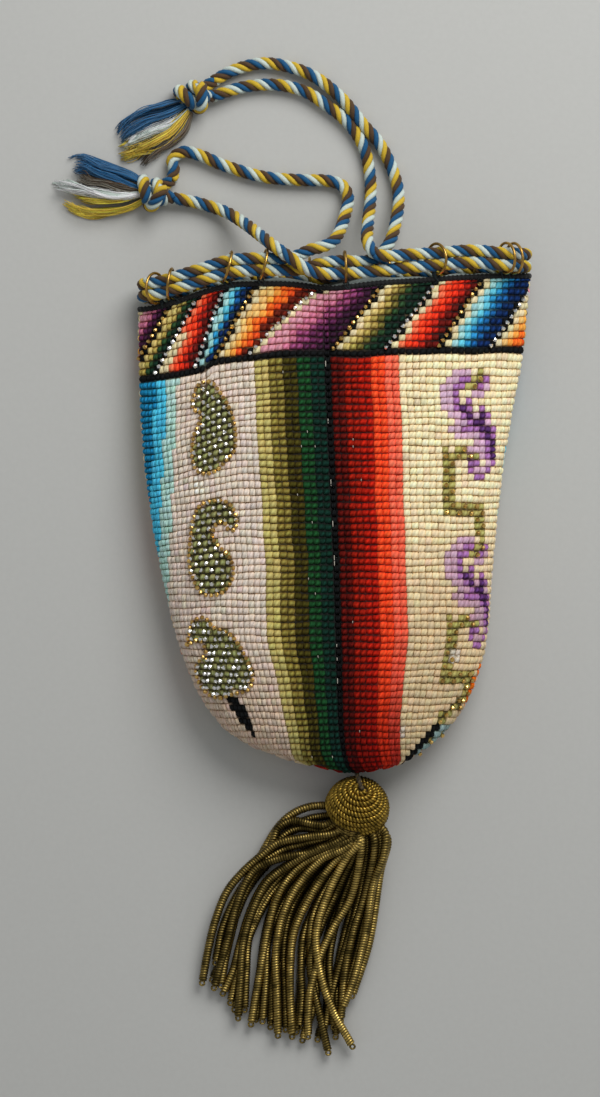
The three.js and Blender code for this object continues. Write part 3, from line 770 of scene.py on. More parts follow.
def grid_faces(rows, columns, joined=False, closed=False):
    """Quads of a grid of points, with their places in a square. The last column of a joined grid meets the
    first, so it is a tube, and it has caps unless it is closed, where the last row meets the first too."""
    wide, tall = columns - (not joined), rows - (not closed)
    faces, layout = [], []
    for row in range(tall):
        here, below = row * columns, (row + 1) % rows * columns
        for column in range(wide):
            other = (column + 1) % columns
            faces.append((here + column, here + other, below + other, below + column))
            u0, u1 = column / wide, (column + 1) / wide
            v0, v1 = row / tall, (row + 1) / tall
            layout.append(((u0, v0), (u1, v0), (u1, v1), (u0, v1)))
    if joined and not closed:
        end = (rows - 1) * columns
        faces += [tuple(range(columns - 1, -1, -1)), tuple(range(end, end + columns))]
        layout += [hidden_spot(columns)] * 2
    return faces, layout


def rim_of(rows, columns):
    """The points round the border of a grid."""
    rim = list(range(columns))
    rim += [row * columns + columns - 1 for row in range(1, rows)]
    rim += [(rows - 1) * columns + column for column in range(columns - 2, -1, -1)]
    return rim + [row * columns for row in range(rows - 2, 0, -1)]


def shell_faces(rows, columns):
    """Faces of a closed shell whose outer grid is followed by its inner one."""
    outer, spots = grid_faces(rows, columns)
    under = rows * columns
    faces = outer + [tuple(under + corner for corner in face) for face in turned(outer)]
    layout = [tuple((u * SHELL_HALF, v) for u, v in spot) for spot in spots]
    layout += [tuple((1 - SHELL_HALF + u * SHELL_HALF, v) for u, v in spot) for spot in turned(spots)]
    rim = rim_of(rows, columns)
    far = 0.5 + SHELL_RIM / 2
    for here, there in zip(rim, rim[1:] + rim[:1]):
        faces.append((there, here, under + here, under + there))
        layout.append(((0.5, 0.0), (0.5, SHELL_RIM), (far, SHELL_RIM), (far, 0.0)))
    return faces, layout


squares = {gore_name: worked_squares(gore) for gore_name, gore in GORES.items()}
canvas_t = np.linspace(0.0, GORE_END, CANVAS_ROWS)
canvas_share = (1 - np.cos(np.linspace(0, math.pi, CANVAS_COLUMNS))) / 2
for gore_name, gore in GORES.items():
    front, worked = gore["front"], squares[gore_name]
    section = sections_at(canvas_t)
    seam, edge = gore_sides(gore, section, canvas_t)
    inner = seam + gore["side"] * GAP / 2
    skin = face_points(section, inner[:, None] + (edge - inner)[:, None] * canvas_share, front)
    normal = unit(np.cross(np.gradient(skin, axis=1), np.gradient(skin, axis=0)))
    normal = normal * np.sign(normal[..., 2].mean()) * (1 if front else -1)
    outer = skin - CANVAS_DEPTH * normal
    inside = outer - CANVAS_THICKNESS * normal
    outer[..., 2] = np.maximum(outer[..., 2], 0 if front else CANVAS_DEPTH)
    faces, layout = shell_faces(CANVAS_ROWS, CANVAS_COLUMNS)
    if (gore["side"] < 0) == front:
        faces, layout = turned(faces), turned(layout)
    middle = worked["middle"]
    near = ((middle**2).sum(1) - 2 * skin.reshape(-1, 3) @ middle.T).argmin(1)
    fluff = worked["dye"][near]
    shaded = GAP_SHADE + (1 - GAP_SHADE) * ease(fluff.mean(1), *LIGHT_WOOL)[:, None]
    # The gaps take the fluff's colour, darkened and warmed as painted shade, more so under dark wool
    fluff_and_shade = np.where(worked["bare"][near][:, None], LINEN, CANVAS_SHADE * fluff * shaded)
    fluff_and_shade = np.concatenate([fluff_and_shade, np.broadcast_to(LINEN, fluff_and_shade.shape)])
    canvas = Work()
    canvas.add(np.concatenate([outer, inside]).reshape(-1, 3), faces, layout, fluff_and_shade)
    place_name = gore_name.removeprefix("gore_")
    canvas.finish("canvas_" + place_name, canvas_finish, "wool_" + place_name.split("_")[1])


# Wool stitches
# The whole face is worked in wool over the counted threads, one plump stitch to each crossing of the
# canvas. The wool fills its square, so each row looks like a cord with a dark groove below it. The dye
# of each stitch is painted lighter on its crown and darker towards its rims: painted highlight and shade.

STITCH_LINES = np.array([-1.0, -0.72, 0.0, 0.72, 1.0])
STITCH_WIDE = 1.14
STITCH_LEAN = 0.12
CORNER_PULL = 0.7
FLATNESS_ACROSS, FLATNESS_DOWN = 2.7, 2.0
TWIN_DEPTH = 0.2
# Painted light on each stitch: crown lightens its dye as a painted highlight, and down, across and twin
# darken it towards the rims and along the diagonal between its legs, to the given power and in the given
# tint, as painted shade.
DARK_WOOL_LOOK = {
    "tall": 0.97, "depth": 1.7, "crown": 2.3, "down": 1.0, "across": 0.8, "twin": 0.2, "power": 1.15,
    "tint": (0.85, 1.0, 1.1),
}
LIGHT_WOOL_LOOK = {
    "tall": 1.05, "depth": 1.08, "crown": 1.13, "down": 0.36, "across": 0.2, "twin": 0.03, "power": 3.0,
    "tint": (0.55, 1.0, 1.5),
}
PRESSED = 0.45
WORN_SIZE = 0.78
FOOT_SHADE_SPAN = (-10.0, 44.0)
LOOSE_SIZE, LOOSE_SHIFT, LOOSE_LIFT, LOOSE_EDGE = 0.03, 0.035, 0.11, 0.07
DYE_SPREAD, HUE_SPREAD = 0.07, 0.022
DYE_LIMITS = (0.001, 0.95)
LOWEST = 0.02
SEED = 11
STITCH_TURNS = (0, 40)
TWIST_ACROSS, TWIST_DOWN, TWIST_FLUFF = 5.4, 1.8, 3.0
LOBE_SHARE, FLUFF_SHARE, MEAN_HEIGHT = 0.5, 0.8, 0.64
# The painted highlight and shade of the legs shows less on light wool: from and to this light of the dye,
# from and to this contrast
WOOL_CONTRAST = (0.02, 0.5, 1.0, 0.42)

wool_finish = Finish("wool_yarn")
wool_across, wool_down, wool_turn = wool_finish.lay()
wool_fluff = wool_finish.noise(size=0.35, detail=4.0)
# The colour follows the bump's height: random tone from the fluff, and the two legs of each stitch painted
# lighter than the hollow between them, as painted highlight and painted shade.
wool_phase = wool_across * TWIST_ACROSS + wool_down * TWIST_DOWN + wool_turn + wool_fluff * TWIST_FLUFF
wool_lobes = wool_phase.math("COSINE", wool_phase) * 0.5 + 0.5
wool_height = wool_lobes * LOBE_SHARE + wool_fluff * FLUFF_SHARE
wool_light = wool_finish.node("ShaderNodeRGBToBW", {}, {0: wool_finish.attribute("dye")})
wool_shade = (wool_height - MEAN_HEIGHT) * wool_finish.spread(wool_light, *WOOL_CONTRAST) + 1.0
wool_finish.skin({
    "Base Color": wool_finish.dyed(wool_finish.grey(wool_shade)),
    "Roughness": 0.85,
    "Specular IOR Level": 0.12,
    "Normal": wool_finish.bump(wool_height, strength=0.8, distance=0.3),
})

stitch_side = len(STITCH_LINES)
stitch_u, stitch_v = (part.ravel() for part in np.meshgrid(STITCH_LINES, STITCH_LINES))
stitch_round = np.sqrt(1 - np.abs(stitch_u) ** FLATNESS_ACROSS)
stitch_round = stitch_round * np.sqrt(1 - np.abs(stitch_v) ** FLATNESS_DOWN)
stitch_twin = (stitch_u == -stitch_v) & (np.abs(stitch_u) < 1)
stitch_pull = np.where(np.abs(stitch_u * stitch_v) == 1, CORNER_PULL, 1.0)
stitch_rim = tuple(rim_of(stitch_side, stitch_side))
stitch_faces, stitch_layout = (turned(part) for part in grid_faces(stitch_side, stitch_side))
stitch_faces.append(stitch_rim)
stitch_layout.append(hidden_spot(len(stitch_rim)))
draw = np.random.default_rng(SEED)

for gore_name, gore in GORES.items():
    worked, field = squares[gore_name], FIELDS[gore["field"]]
    pressed = np.array([bead is not None for bead in worked["bead"]])
    count = len(pressed)
    pale = ease(worked["dye"].mean(1), *LIGHT_WOOL)[:, None]
    look = {
        part: pale * np.array(LIGHT_WOOL_LOOK[part]) + (1 - pale) * np.array(value)
        for part, value in DARK_WOOL_LOOK.items()
    }
    size = draw.normal(1.0, LOOSE_SIZE, (count, 1)) * np.where(worked["bare"], WORN_SIZE, 1.0)[:, None]
    shift = draw.normal(0.0, LOOSE_SHIFT, (count, 2))
    lift = draw.normal(0.0, LOOSE_LIFT, (count, 1)) - np.where(pressed, PRESSED, 0)[:, None]
    u = stitch_u * stitch_pull * STITCH_WIDE * size - STITCH_LEAN * stitch_v + shift[:, :1]
    v = stitch_v * stitch_pull * look["tall"] * size + shift[:, 1:]
    right, down = (((part + 1) / 2)[..., None] for part in (u, v))
    corner = worked["corners"][:, :, None]
    upper = (1 - right) * corner[:, 0] + right * corner[:, 1]
    lower = (1 - right) * corner[:, 2] + right * corner[:, 3]
    height = look["depth"] * (stitch_round - 1) + np.where(stitch_round > 0, lift, 0)
    height = height - TWIN_DEPTH * stitch_twin
    points = (1 - down) * upper + down * lower + worked["normal"][:, None] * height[..., None]
    points = points + draw.normal(0.0, LOOSE_EDGE, points.shape)
    points[..., 2] = np.maximum(points[..., 2], LOWEST)
    tone = draw.normal(1.0, DYE_SPREAD, (count, 1)) * (1 + draw.normal(0.0, HUE_SPREAD, (count, 3)))
    # Painted shade towards the rims of each stitch and along its diagonal, and a painted highlight on its
    # crown
    shade_down = look["down"] * np.abs(stitch_v) ** look["power"]
    shade_across = look["across"] * np.abs(stitch_u) ** look["power"]
    rim_shade = np.maximum(np.maximum(shade_down, shade_across), look["twin"] * stitch_twin)
    groove = 1 - np.minimum(rim_shade[..., None] * look["tint"][:, None], 1)
    # Painted shade towards the bottom of the bag, on light wool and at the foot of the stripes
    below = -worked["middle"][:, 1:2]
    bottom_shade = ease(below, field["soil from"], field["soil to"]) * pale * field["bottom_shade"]
    striped = worked["column"][:, None] <= STRIPE_COLUMNS * len(field["stripes"])
    bottom_shade = bottom_shade + ease(below, *FOOT_SHADE_SPAN) * striped * field["foot_shade"]
    dyes = (worked["dye"] * tone * look["crown"] * (1 - bottom_shade))[:, None] * groove
    turn = draw.uniform(*STITCH_TURNS, (count, 1))
    grain = np.stack(np.broadcast_arrays(stitch_u, stitch_v, turn), -1)
    faces, layout = stitch_faces, stitch_layout
    if not gore["front"]:
        faces, layout = turned(faces), turned(layout)
    wool = Work()
    wool.add(points, faces, layout, np.clip(dyes, *DYE_LIMITS), grain)
    wool_side = "left" if gore["field"] == "green" else "right"
    place_name = gore_name.removeprefix("gore_")
    wool.finish("stitches_" + place_name, wool_finish, "wool_" + wool_side, gore_name)


# Beads
# Small faceted steel and gilt beads are sewn on one by one: along the band's slanting stripes, over the
# leaf motifs with a gilt outline, and along the flower stems.

BEAD_RADIUS, BEAD_SPREAD = 1.0, 0.05
BAND_BEAD_ROWS = 0.78
BEAD_RISE = 0.1
OUTLINE_PITCH = 2.25
FACET_LAYOUT = ((0.1, 0.1), (0.9, 0.1), (0.5, 0.9))
TARNISH_SPAN, TARNISH_ROUGHNESS = (0.35, 0.7), 0.3
SCRATCH, SCRATCH_HEIGHT = 0.25, 0.3
# Painted shade in the grooves of a coil: from and to this height of the winding, from and to this share
# of the shade's colour
COIL_SHADE_SPAN, COIL_SHADE_COLOUR, COIL_HEIGHT = (-0.95, 0.0, 0.8, 0.0), (18, 14, 6), 0.5

beads = {"steel": [], "gilt": []}


def seat_bead(metal, worked, front, x, y):
    """Sews a bead on the worked face at a place."""
    seat = np.argmin(np.hypot(worked["middle"][:, 0] - x, worked["middle"][:, 1] - y))
    middle, normal = worked["middle"][seat], worked["normal"][seat]
    z = middle[2] - (normal[0] * (x - middle[0]) + normal[1] * (y - middle[1])) / normal[2]
    beads[metal].append((np.array((x, y, z)), normal, front))


for gore_name, gore in GORES.items():
    worked, front = squares[gore_name], gore["front"]
    facing = 1 if front else -1
    for place, bead in enumerate(worked["bead"]):
        if bead:
            beads[bead].append((worked["middle"][place], worked["normal"][place], front))
    for row in np.arange(BAND_BEAD_ROWS, BAND_ROWS - 1, BAND_BEAD_ROWS):
        above, below = (worked["middle"][worked["row"] == near] for near in (int(row), int(row) + 1))
        above, below = (line[np.argsort(line[:, 0])] for line in (above, below))
        for stripe in BAND_STRIPES:
            x = bead_line(stripe, row) * facing
            if above[0, 0] <= x <= above[-1, 0]:
                high, low = (np.interp(x, line[:, 0], line[:, 1]) for line in (above, below))
                seat_bead(stripe[BEADS_COLUMN], worked, front, x, high + (low - high) * (row % 1))
    for outline in LEAF_OUTLINES if gore["field"] == "green" else ():
        closed = np.vstack([outline, outline[:1]])
        length = run_of(closed)[-1]
        places = np.linspace(0, length, round(length / OUTLINE_PITCH), endpoint=False)
        for x, y in follow(closed, places):
            seat_bead("gilt", worked, front, x * facing, y)


def metal_finish(name, bright, dull, roughness, grain, tarnish, coil=0.0):
    """Metal with a duller, rougher tarnish in patches of about grain millimetres, and painted shade in its
    grooves if coiled.
    """
    made = Finish(name)
    patch = made.spread(made.noise(grain, detail=3.0), *TARNISH_SPAN, 0.0, tarnish)
    colour = made.mix(patch, srgb(bright), srgb(dull))
    height = made.noise(SCRATCH) * SCRATCH_HEIGHT
    if coil:
        across, up, run = made.lay()
        phase = run * (TURN / coil)
        wind = across * phase.math("COSINE", phase) + up * phase.math("SINE", phase)
        groove = made.spread(wind, *COIL_SHADE_SPAN)
        colour = made.dyed(made.mix(groove, colour, srgb(COIL_SHADE_COLOUR)))
        height = height + wind * COIL_HEIGHT
    made.skin({
        "Base Color": colour,
        "Metallic": 1.0,
        "Roughness": roughness + patch * TARNISH_ROUGHNESS,
        "Normal": made.bump(height, strength=0.3, distance=0.15),
    })
    return made


bead_finish = {
    "steel": metal_finish(
        "cut_steel", (252, 252, 250), (196, 192, 182), roughness=0.17, grain=3.0, tarnish=0.5,
    ),
    "gilt": metal_finish(
        "cut_gilt", (240, 200, 118), (122, 88, 42), roughness=0.17, grain=3.0, tarnish=0.85,
    ),
}
ball = bmesh.new()
bmesh.ops.create_icosphere(ball, subdivisions=1, radius=1.0)
ball_corners = np.array([corner.co for corner in ball.verts])
ball_faces = [tuple(corner.index for corner in face.verts) for face in ball.faces]
ball.free()
for metal, seats in beads.items():
    centres, normals, on_front = (np.array(column) for column in zip(*seats))
    radius = BEAD_RADIUS * draw.normal(1.0, BEAD_SPREAD, len(seats))
    centres = centres + normals * np.where(on_front, BEAD_RISE, -radius)[:, None]
    centres[:, 2] = np.maximum(centres[:, 2], radius + LOWEST)
    spin = unit(draw.normal(size=(len(seats), 1, 4)))
    axis = spin[..., 1:]
    balls = ball_corners + 2 * np.cross(axis, spin[..., :1] * ball_corners + np.cross(axis, ball_corners))
    balls = centres[:, None] + balls * radius[:, None, None]
    string = Work()
    string.add(balls, ball_faces, [FACET_LAYOUT] * len(ball_faces), 1.0)
    string.finish("beads_" + metal, bead_finish[metal], "metal_thread", smooth=False)


# Lining
# A loose bag of thin pale blue-green silk hangs inside the walls. It is caught to the mouth under the
# overcast edge and its puckered hem stands a little above it.

LINING_DEPTH = 3.0
LINING_WALL = 0.5
LINING_RISE, LINING_DIP_RISE, LINING_DIP_HALF = 2.2, 1.4, 22.0
LINING_LIFT = 1.3
HEM_SHARES = (1.0, 0.75, 0.4)
GATHER_RISE, GATHER_LIFT = 0.7, 0.35
GATHER_BEATS, GATHER_START = (0.9, 0.37), 1.3
LINING_SIDE_STEPS = 90
LINING_ROWS = 22
SILK_TONES = ((206, 230, 224), (238, 246, 242))


def loop_at(section, half_steps, rise=0.0):
    """A loop round the bag at one section: across the front, then back across the underside."""
    cosine = np.cos(np.linspace(0, math.pi, half_steps, endpoint=False))
    middle = (section["left"] + section["right"])[:, None] / 2
    reach = (section["right"] - section["left"])[:, None] / 2 * cosine
    over = face_points(section, middle - reach, True, rise)
    return np.concatenate([over, face_points(section, middle + reach, False, rise)], 1)


def lining_sheet(depth):
    """Loops from the hem at the mouth to the bottom of the lining."""
    loops = loop_at(sections_at(np.linspace(0.0, GORE_END, LINING_ROWS), depth), LINING_SIDE_STEPS)
    mouth = sections_at(0.0, depth)
    hem = np.repeat(loop_at(mouth, LINING_SIDE_STEPS), len(HEM_SHARES), axis=0)
    raised = ease(hem[0, :, 2], mouth["side"][0], mouth["crown"][0])
    at_dip = LINING_DIP_RISE * hump(hem[0, :, 0], 0.0, LINING_DIP_HALF)
    step = np.arange(hem.shape[1])
    gather = (np.sin(step * GATHER_BEATS[0]) + np.sin(step * GATHER_BEATS[1] + GATHER_START)) / 2
    for row, share in zip(hem, HEM_SHARES):
        row[:, 1] += (LINING_RISE + at_dip + GATHER_RISE * gather) * raised * share
        row[:, 2] += (LINING_LIFT + GATHER_LIFT * gather) * raised * share
    return np.concatenate([hem, loops])


lining_inner = lining_sheet(LINING_DEPTH + LINING_WALL)
lining_loops = np.concatenate([lining_sheet(LINING_DEPTH), lining_inner[::-1]])
silk_finish = Finish("lining_silk")
silk_weave = silk_finish.noise(size=0.5, detail=3.0)
silk_finish.skin({
    "Base Color": silk_finish.mix(silk_weave, *map(srgb, SILK_TONES)),
    "Roughness": 0.42,
    "Sheen Weight": 0.2,
    "Normal": silk_finish.bump(silk_weave, strength=0.3, distance=0.2),
})
lining_faces, lining_layout = grid_faces(*lining_loops.shape[:2], joined=True, closed=True)
lining = Work()
lining.add(lining_loops.reshape(-1, 3), lining_faces, lining_layout, 1.0)
lining.finish("lining_bag", silk_finish, "lining_silk", "lining")


# Overcast edge
# The raw edge of the mouth is turned and overcast all the way round with close stitches of black wool,
# which lie as slanting ridges on a thin roll.

EDGING_RADIUS = 1.22
EDGING_RISE = 0.85
EDGING_COLOUR = (20, 21, 22)
OVERCAST_PITCH = 1.7
OVERCAST_RIDGE = 0.16
EDGING_STEP = 0.42
EDGING_SIDES = 10
EDGING_HALF_STEPS = 260
STREAK_SCALE = 2.6
# The yarn's colour is painted darker in the hollows of its bump, partly random tone and partly painted
# shade:
# from and to this height, from and to this tone
YARN_SHADES = (0.6, 1.4, 0.72, 1.16)
UPRIGHT = 0.8


def spaced(line, step):
    """The same line with points about a step apart."""
    length = run_of(line)[-1]
    return follow(line, np.linspace(0, length, max(round(length / step), 2) + 1))


def carried_normals(line):
    """Tangents of a line, and normals that are carried along it without turning about it."""
    tangent = unit(np.gradient(line, axis=0))
    last = np.array((0.0, 0.0, 1.0) if abs(tangent[0, 2]) < UPRIGHT else (1.0, 0.0, 0.0))
    normal = np.empty_like(line)
    for index, along in enumerate(tangent):
        last = last - along * np.dot(last, along)
        last = last / np.linalg.norm(last)
        normal[index] = last
    return tangent, normal


def line_frame(line, outward=None):
    """Tangents, normals and sides of a line. Its normals point outward where that is given."""
    if outward is None:
        tangent, normal = carried_normals(line)
    else:
        tangent = unit(np.gradient(line, axis=0))
        normal = unit(outward - tangent * np.sum(outward * tangent, -1, keepdims=True))
    return tangent, normal, np.cross(tangent, normal)


def add_tube(work, line, radius, sides, colour, outward=None, closed=False):
    """A tube round a line. radius is one number or one for each point and side."""
    normal, side = line_frame(line, outward)[1:]
    cosine, sine = np.cos(around(sides)), np.sin(around(sides))
    ring = cosine[:, None] * normal[:, None] + sine[:, None] * side[:, None]
    points = line[:, None] + np.broadcast_to(radius, (len(line), sides))[..., None] * ring
    faces, layout = grid_faces(len(line), sides, True, closed)
    grain = np.stack(np.broadcast_arrays(cosine, sine, run_of(line)[:, None]), -1)
    work.add(points.reshape(-1, 3), faces, layout, colour, grain.reshape(1, -1, 3))


edging_line = loop_at(sections_at(0.0, WALL / 2), EDGING_HALF_STEPS, EDGING_RISE)[0]
edging_line = spaced(np.concatenate([edging_line, edging_line[:1]]), EDGING_STEP)[:-1]
edging_run = run_of(edging_line)
overcast_turns = round(edging_run[-1] / OVERCAST_PITCH)
ridge = np.cos((edging_run / edging_run[-1] * overcast_turns * TURN)[:, None] - around(EDGING_SIDES))
yarn_finish = Finish("twisted_yarn")
yarn_height = yarn_finish.noise(size=0.3, detail=4.0) + yarn_finish.node("ShaderNodeTexNoise", {}, {
    "Vector": yarn_finish.attribute("lay", "Vector"), "Scale": STREAK_SCALE, "Detail": 3.0,
})
yarn_finish.skin({
    "Base Color": yarn_finish.dyed(yarn_finish.grey(yarn_finish.spread(yarn_height, *YARN_SHADES))),
    "Roughness": 0.75,
    "Specular IOR Level": 0.3,
    "Sheen Weight": 0.12,
    "Normal": yarn_finish.bump(yarn_height, strength=0.5, distance=0.2),
})
edging = Work()
edging_radius = EDGING_RADIUS * (1 - OVERCAST_RIDGE + OVERCAST_RIDGE * ridge)
edging_up = np.broadcast_to((0.0, 1.0, 0.0), edging_line.shape)
add_tube(edging, edging_line, edging_radius, EDGING_SIDES, dye(EDGING_COLOUR), edging_up, closed=True)
edging.finish("overcast_edge", yarn_finish, "edging_wool", "rim_edging")


# Seam sewing
# The gores are sewn together with pale linen thread, which glints here and there along the front seam,
# and a few pale canvas threads show between the dark stitches.

SEAM_THREAD, SEAM_SIDES = 0.16, 6
SEAM_STITCHES, SEAM_STITCH_POINTS, SEAM_STITCH_LENGTH = 9, 6, (0.03, 0.1)
SEAM_TOP, SEAM_END = 0.9, 6.4
SEAM_OFF, SEAM_SINK = 0.7, 0.35
SPECK_SHARE = 0.02
SPECK_COLUMNS = (2, 6)
SPECK_SIDES = 5
SPECK_THREAD, SPECK_HALF, SPECK_SINK = 0.13, 0.45, 0.4
LINEN_THREAD = (206, 200, 184)

sewing = Work()
for start in draw.uniform(SEAM_TOP, SEAM_END, SEAM_STITCHES):
    section = sections_at(start + np.linspace(0, draw.uniform(*SEAM_STITCH_LENGTH), SEAM_STITCH_POINTS))
    line = face_points(section, (section["seam"] - SEAM_OFF)[:, None], True)[:, 0]
    line[:, 2] -= SEAM_SINK
    add_tube(sewing, line, SEAM_THREAD, SEAM_SIDES, dye(LINEN_THREAD))
for gore_name in [name for name, gore in GORES.items() if gore["front"]]:
    worked = squares[gore_name]
    striped = (worked["column"] >= SPECK_COLUMNS[0]) & (worked["column"] <= SPECK_COLUMNS[1])
    for place in np.nonzero(striped & (worked["row"] >= BAND_ROWS))[0]:
        if draw.uniform() < SPECK_SHARE:
            corner = worked["corners"][place, 2] - SPECK_SINK * worked["normal"][place]
            upward = unit(worked["corners"][place, 0] - worked["corners"][place, 2])
            line = corner + np.array((-1.0, 0.0, 1.0))[:, None] * SPECK_HALF * upward
            add_tube(sewing, line, SPECK_THREAD, SPECK_SIDES, dye(LINEN_THREAD))
sewing.finish("seam_sewing", yarn_finish, "tie_thread")


# Rings
# Small rings of brass wire are sewn along the outside of the mouth with a few turns of dark thread each,
# and carry the two drawstrings.

RING_RADIUS = 6.05
RING_WIRE = 0.58
RING_STEPS = 48
RING_SIDES = 10
THREAD_RADIUS, THREAD_SIDES = 0.24, 5
THREAD_TURNS, THREAD_STEPS, THREAD_SPACING = 5, 14, 1.9
THREAD_REACH, THREAD_SLACK = 0.95, 0.12
THREAD_COLOUR = (24, 40, 44)


def ellipse(centre, steps, along, across):
    """A closed loop about a centre, with half axes along and across."""
    angle = around(steps)[:, None]
    return centre + np.cos(angle) * along + np.sin(angle) * across


ring_finish = metal_finish(
    "ring_brass", (206, 164, 84), (110, 84, 44), roughness=0.22, grain=2.5, tarnish=0.8,
)
ring_thread = Work()
for name in sorted(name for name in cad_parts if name.startswith("ring_")):
    corners = np.array([corner.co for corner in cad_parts[name].data.vertices]) / MM
    centre = corners.mean(0)
    axis = np.linalg.svd(corners - centre)[2][2]
    seat = edging_line[np.argmin(np.linalg.norm(edging_line - centre, axis=1))]
    down = seat - centre
    down = unit(down - axis * np.dot(down, axis))
    line = ellipse(centre, RING_STEPS, RING_RADIUS * down, RING_RADIUS * np.cross(axis, down))
    ring = Work()
    add_tube(ring, line, RING_WIRE, RING_SIDES, 1.0, unit(line - centre), closed=True)
    ring.finish("wire_" + name, ring_finish, "ring_brass", name)
    wire = centre + RING_RADIUS * down
    middle = (wire + seat) / 2
    towards = unit(seat - wire)
    beside = unit(axis - towards * np.dot(axis, towards))
    long_half = (np.linalg.norm(wire - seat) / 2 + THREAD_REACH) * towards
    short_half = (RING_WIRE + THREAD_RADIUS + THREAD_SLACK) * beside
    for turn in range(THREAD_TURNS):
        offset = (turn - (THREAD_TURNS - 1) / 2) * THREAD_RADIUS * THREAD_SPACING
        loop = ellipse(middle + np.cross(towards, beside) * offset, THREAD_STEPS, long_half, short_half)
        outward = unit(loop - middle)
        add_tube(ring_thread, loop, THREAD_RADIUS, THREAD_SIDES, dye(THREAD_COLOUR), outward, closed=True)
ring_thread.finish("ring_sewing", yarn_finish, "tie_thread")


# Drawstrings
# Two loose cords, each twisted from four plies of blue, pale, yellow and brown yarn, run right round the
# mouth through the rings. Their free ends lie on the surface above the bag and are knotted together.

PLY_RADIUS = 1.09
PLY_CIRCLE = 1.5
CORD_PITCH = 12.0
CORD_STEP = 1.0
PLY_SIDES = 8
CURVE_STEPS = 30
PLY_COLOURS = ((12, 82, 126), (200, 213, 204), (208, 174, 44), (80, 57, 32))
DRAWSTRINGS = {
    "drawstring_a": {
        "inner": (
            (-48.6, 222.8, 4.4), (-36.6, 226.6, 2.8), (-23.8, 227.6, 2.6), (-12.2, 225.0, 2.6),
            (-3.8, 219.8, 2.6), (5.0, 212.8, 2.6), (11.4, 203.4, 2.6), (14.2, 192.2, 2.8),
            (14.6, 182.6, 5.6), (13.4, 171.0, 13.0), (13.2, 163.4, 19.6),
        ),
        "run": (
            (15.8, 158.8, 21.9), (20.8, 157.6, 21.9), (28.0, 158.2, 20.6), (40.6, 158.9, 19.5),
            (55.0, 160.0, 19.4), (68.5, 158.8, 18.6), (71.6, 158.8, 17.9), (75.2, 158.8, 15.4),
            (76.6, 158.8, 11.4), (75.2, 158.7, 7.2), (70.5, 158.4, 5.0), (56.0, 158.0, 5.0),
            (39.0, 156.8, 5.0), (22.0, 155.5, 5.2), (13.5, 154.6, 6.4), (6.0, 152.4, 7.5),
            (-2.0, 150.0, 6.4), (-10.0, 149.2, 5.2), (-33.0, 150.2, 5.0), (-56.0, 145.8, 5.0),
            (-70.5, 141.6, 5.0), (-75.2, 141.8, 7.0), (-76.6, 142.0, 11.0), (-75.2, 142.2, 14.8),
            (-71.5, 142.4, 16.9), (-65.5, 144.1, 18.0), (-54.0, 147.6, 20.0), (-42.6, 151.0, 21.0),
            (-33.0, 151.9, 21.2), (-24.2, 152.0, 20.8), (-15.0, 152.2, 19.6), (-10.0, 153.4, 18.8),
            (-5.0, 155.0, 18.4), (4.2, 155.9, 18.5), (11.0, 155.6, 17.4), (16.4, 157.2, 16.6),
        ),
        "outer": (
            (21.4, 162.4, 14.8), (24.4, 171.0, 10.6), (25.8, 182.6, 5.2), (23.8, 192.2, 2.8),
            (18.2, 203.8, 2.6), (11.4, 211.8, 2.9), (2.6, 222.4, 3.2), (-7.4, 230.4, 2.9),
            (-16.2, 234.2, 2.7), (-28.6, 236.2, 2.6), (-41.4, 233.0, 2.8), (-48.4, 228.9, 4.0),
        ),
    },
    "drawstring_b": {
        "lower": (
            (-64.6, 181.9, 4.6), (-54.6, 180.0, 2.8), (-43.4, 176.2, 4.8), (-35.6, 171.0, 11.4),
            (-29.6, 166.0, 19.0), (-24.6, 161.8, 24.2),
        ),
        "run": (
            (-20.6, 158.8, 25.6), (-17.0, 156.2, 25.6), (-11.5, 152.6, 24.6), (-6.5, 150.8, 22.4),
            (-1.0, 150.7, 19.9), (4.2, 151.0, 18.5), (14.0, 151.5, 18.9), (27.0, 153.0, 19.3),
            (40.6, 154.1, 19.5), (55.0, 155.2, 19.4), (68.5, 154.0, 18.6), (71.6, 154.0, 17.9),
            (75.2, 154.0, 15.4), (76.6, 154.0, 11.4), (75.2, 153.9, 7.2), (70.5, 153.6, 5.0),
            (56.0, 153.2, 5.0), (39.0, 152.0, 5.0), (22.0, 150.7, 4.8), (13.5, 151.0, 3.2),
            (6.0, 152.2, 2.6), (-2.0, 153.6, 3.2), (-10.0, 154.0, 4.8), (-33.0, 155.0, 5.0),
            (-56.0, 150.6, 5.0), (-70.5, 146.4, 5.0), (-75.2, 146.6, 7.0), (-76.6, 146.8, 11.0),
            (-75.2, 147.0, 14.8), (-71.5, 147.2, 16.9), (-65.5, 148.9, 18.0), (-54.0, 152.4, 20.0),
            (-42.6, 155.8, 21.0), (-33.0, 156.7, 21.2), (-24.2, 156.8, 20.8), (-19.0, 156.8, 20.6),
            (-14.4, 158.0, 20.6),
        ),
        "upper": (
            (-9.8, 160.2, 20.4), (-5.0, 161.4, 20.2), (-0.8, 163.4, 18.6), (2.2, 168.2, 14.2),
            (4.4, 175.4, 8.0), (5.6, 181.8, 3.8), (3.2, 187.0, 2.7), (-3.0, 189.0, 2.6),
            (-12.2, 189.2, 2.6), (-28.6, 190.6, 2.6), (-45.0, 195.4, 2.6), (-54.0, 199.2, 2.7),
            (-60.6, 200.6, 3.0), (-65.0, 197.6, 3.2), (-64.4, 192.8, 3.6), (-65.4, 189.0, 4.6),
        ),
    },
}


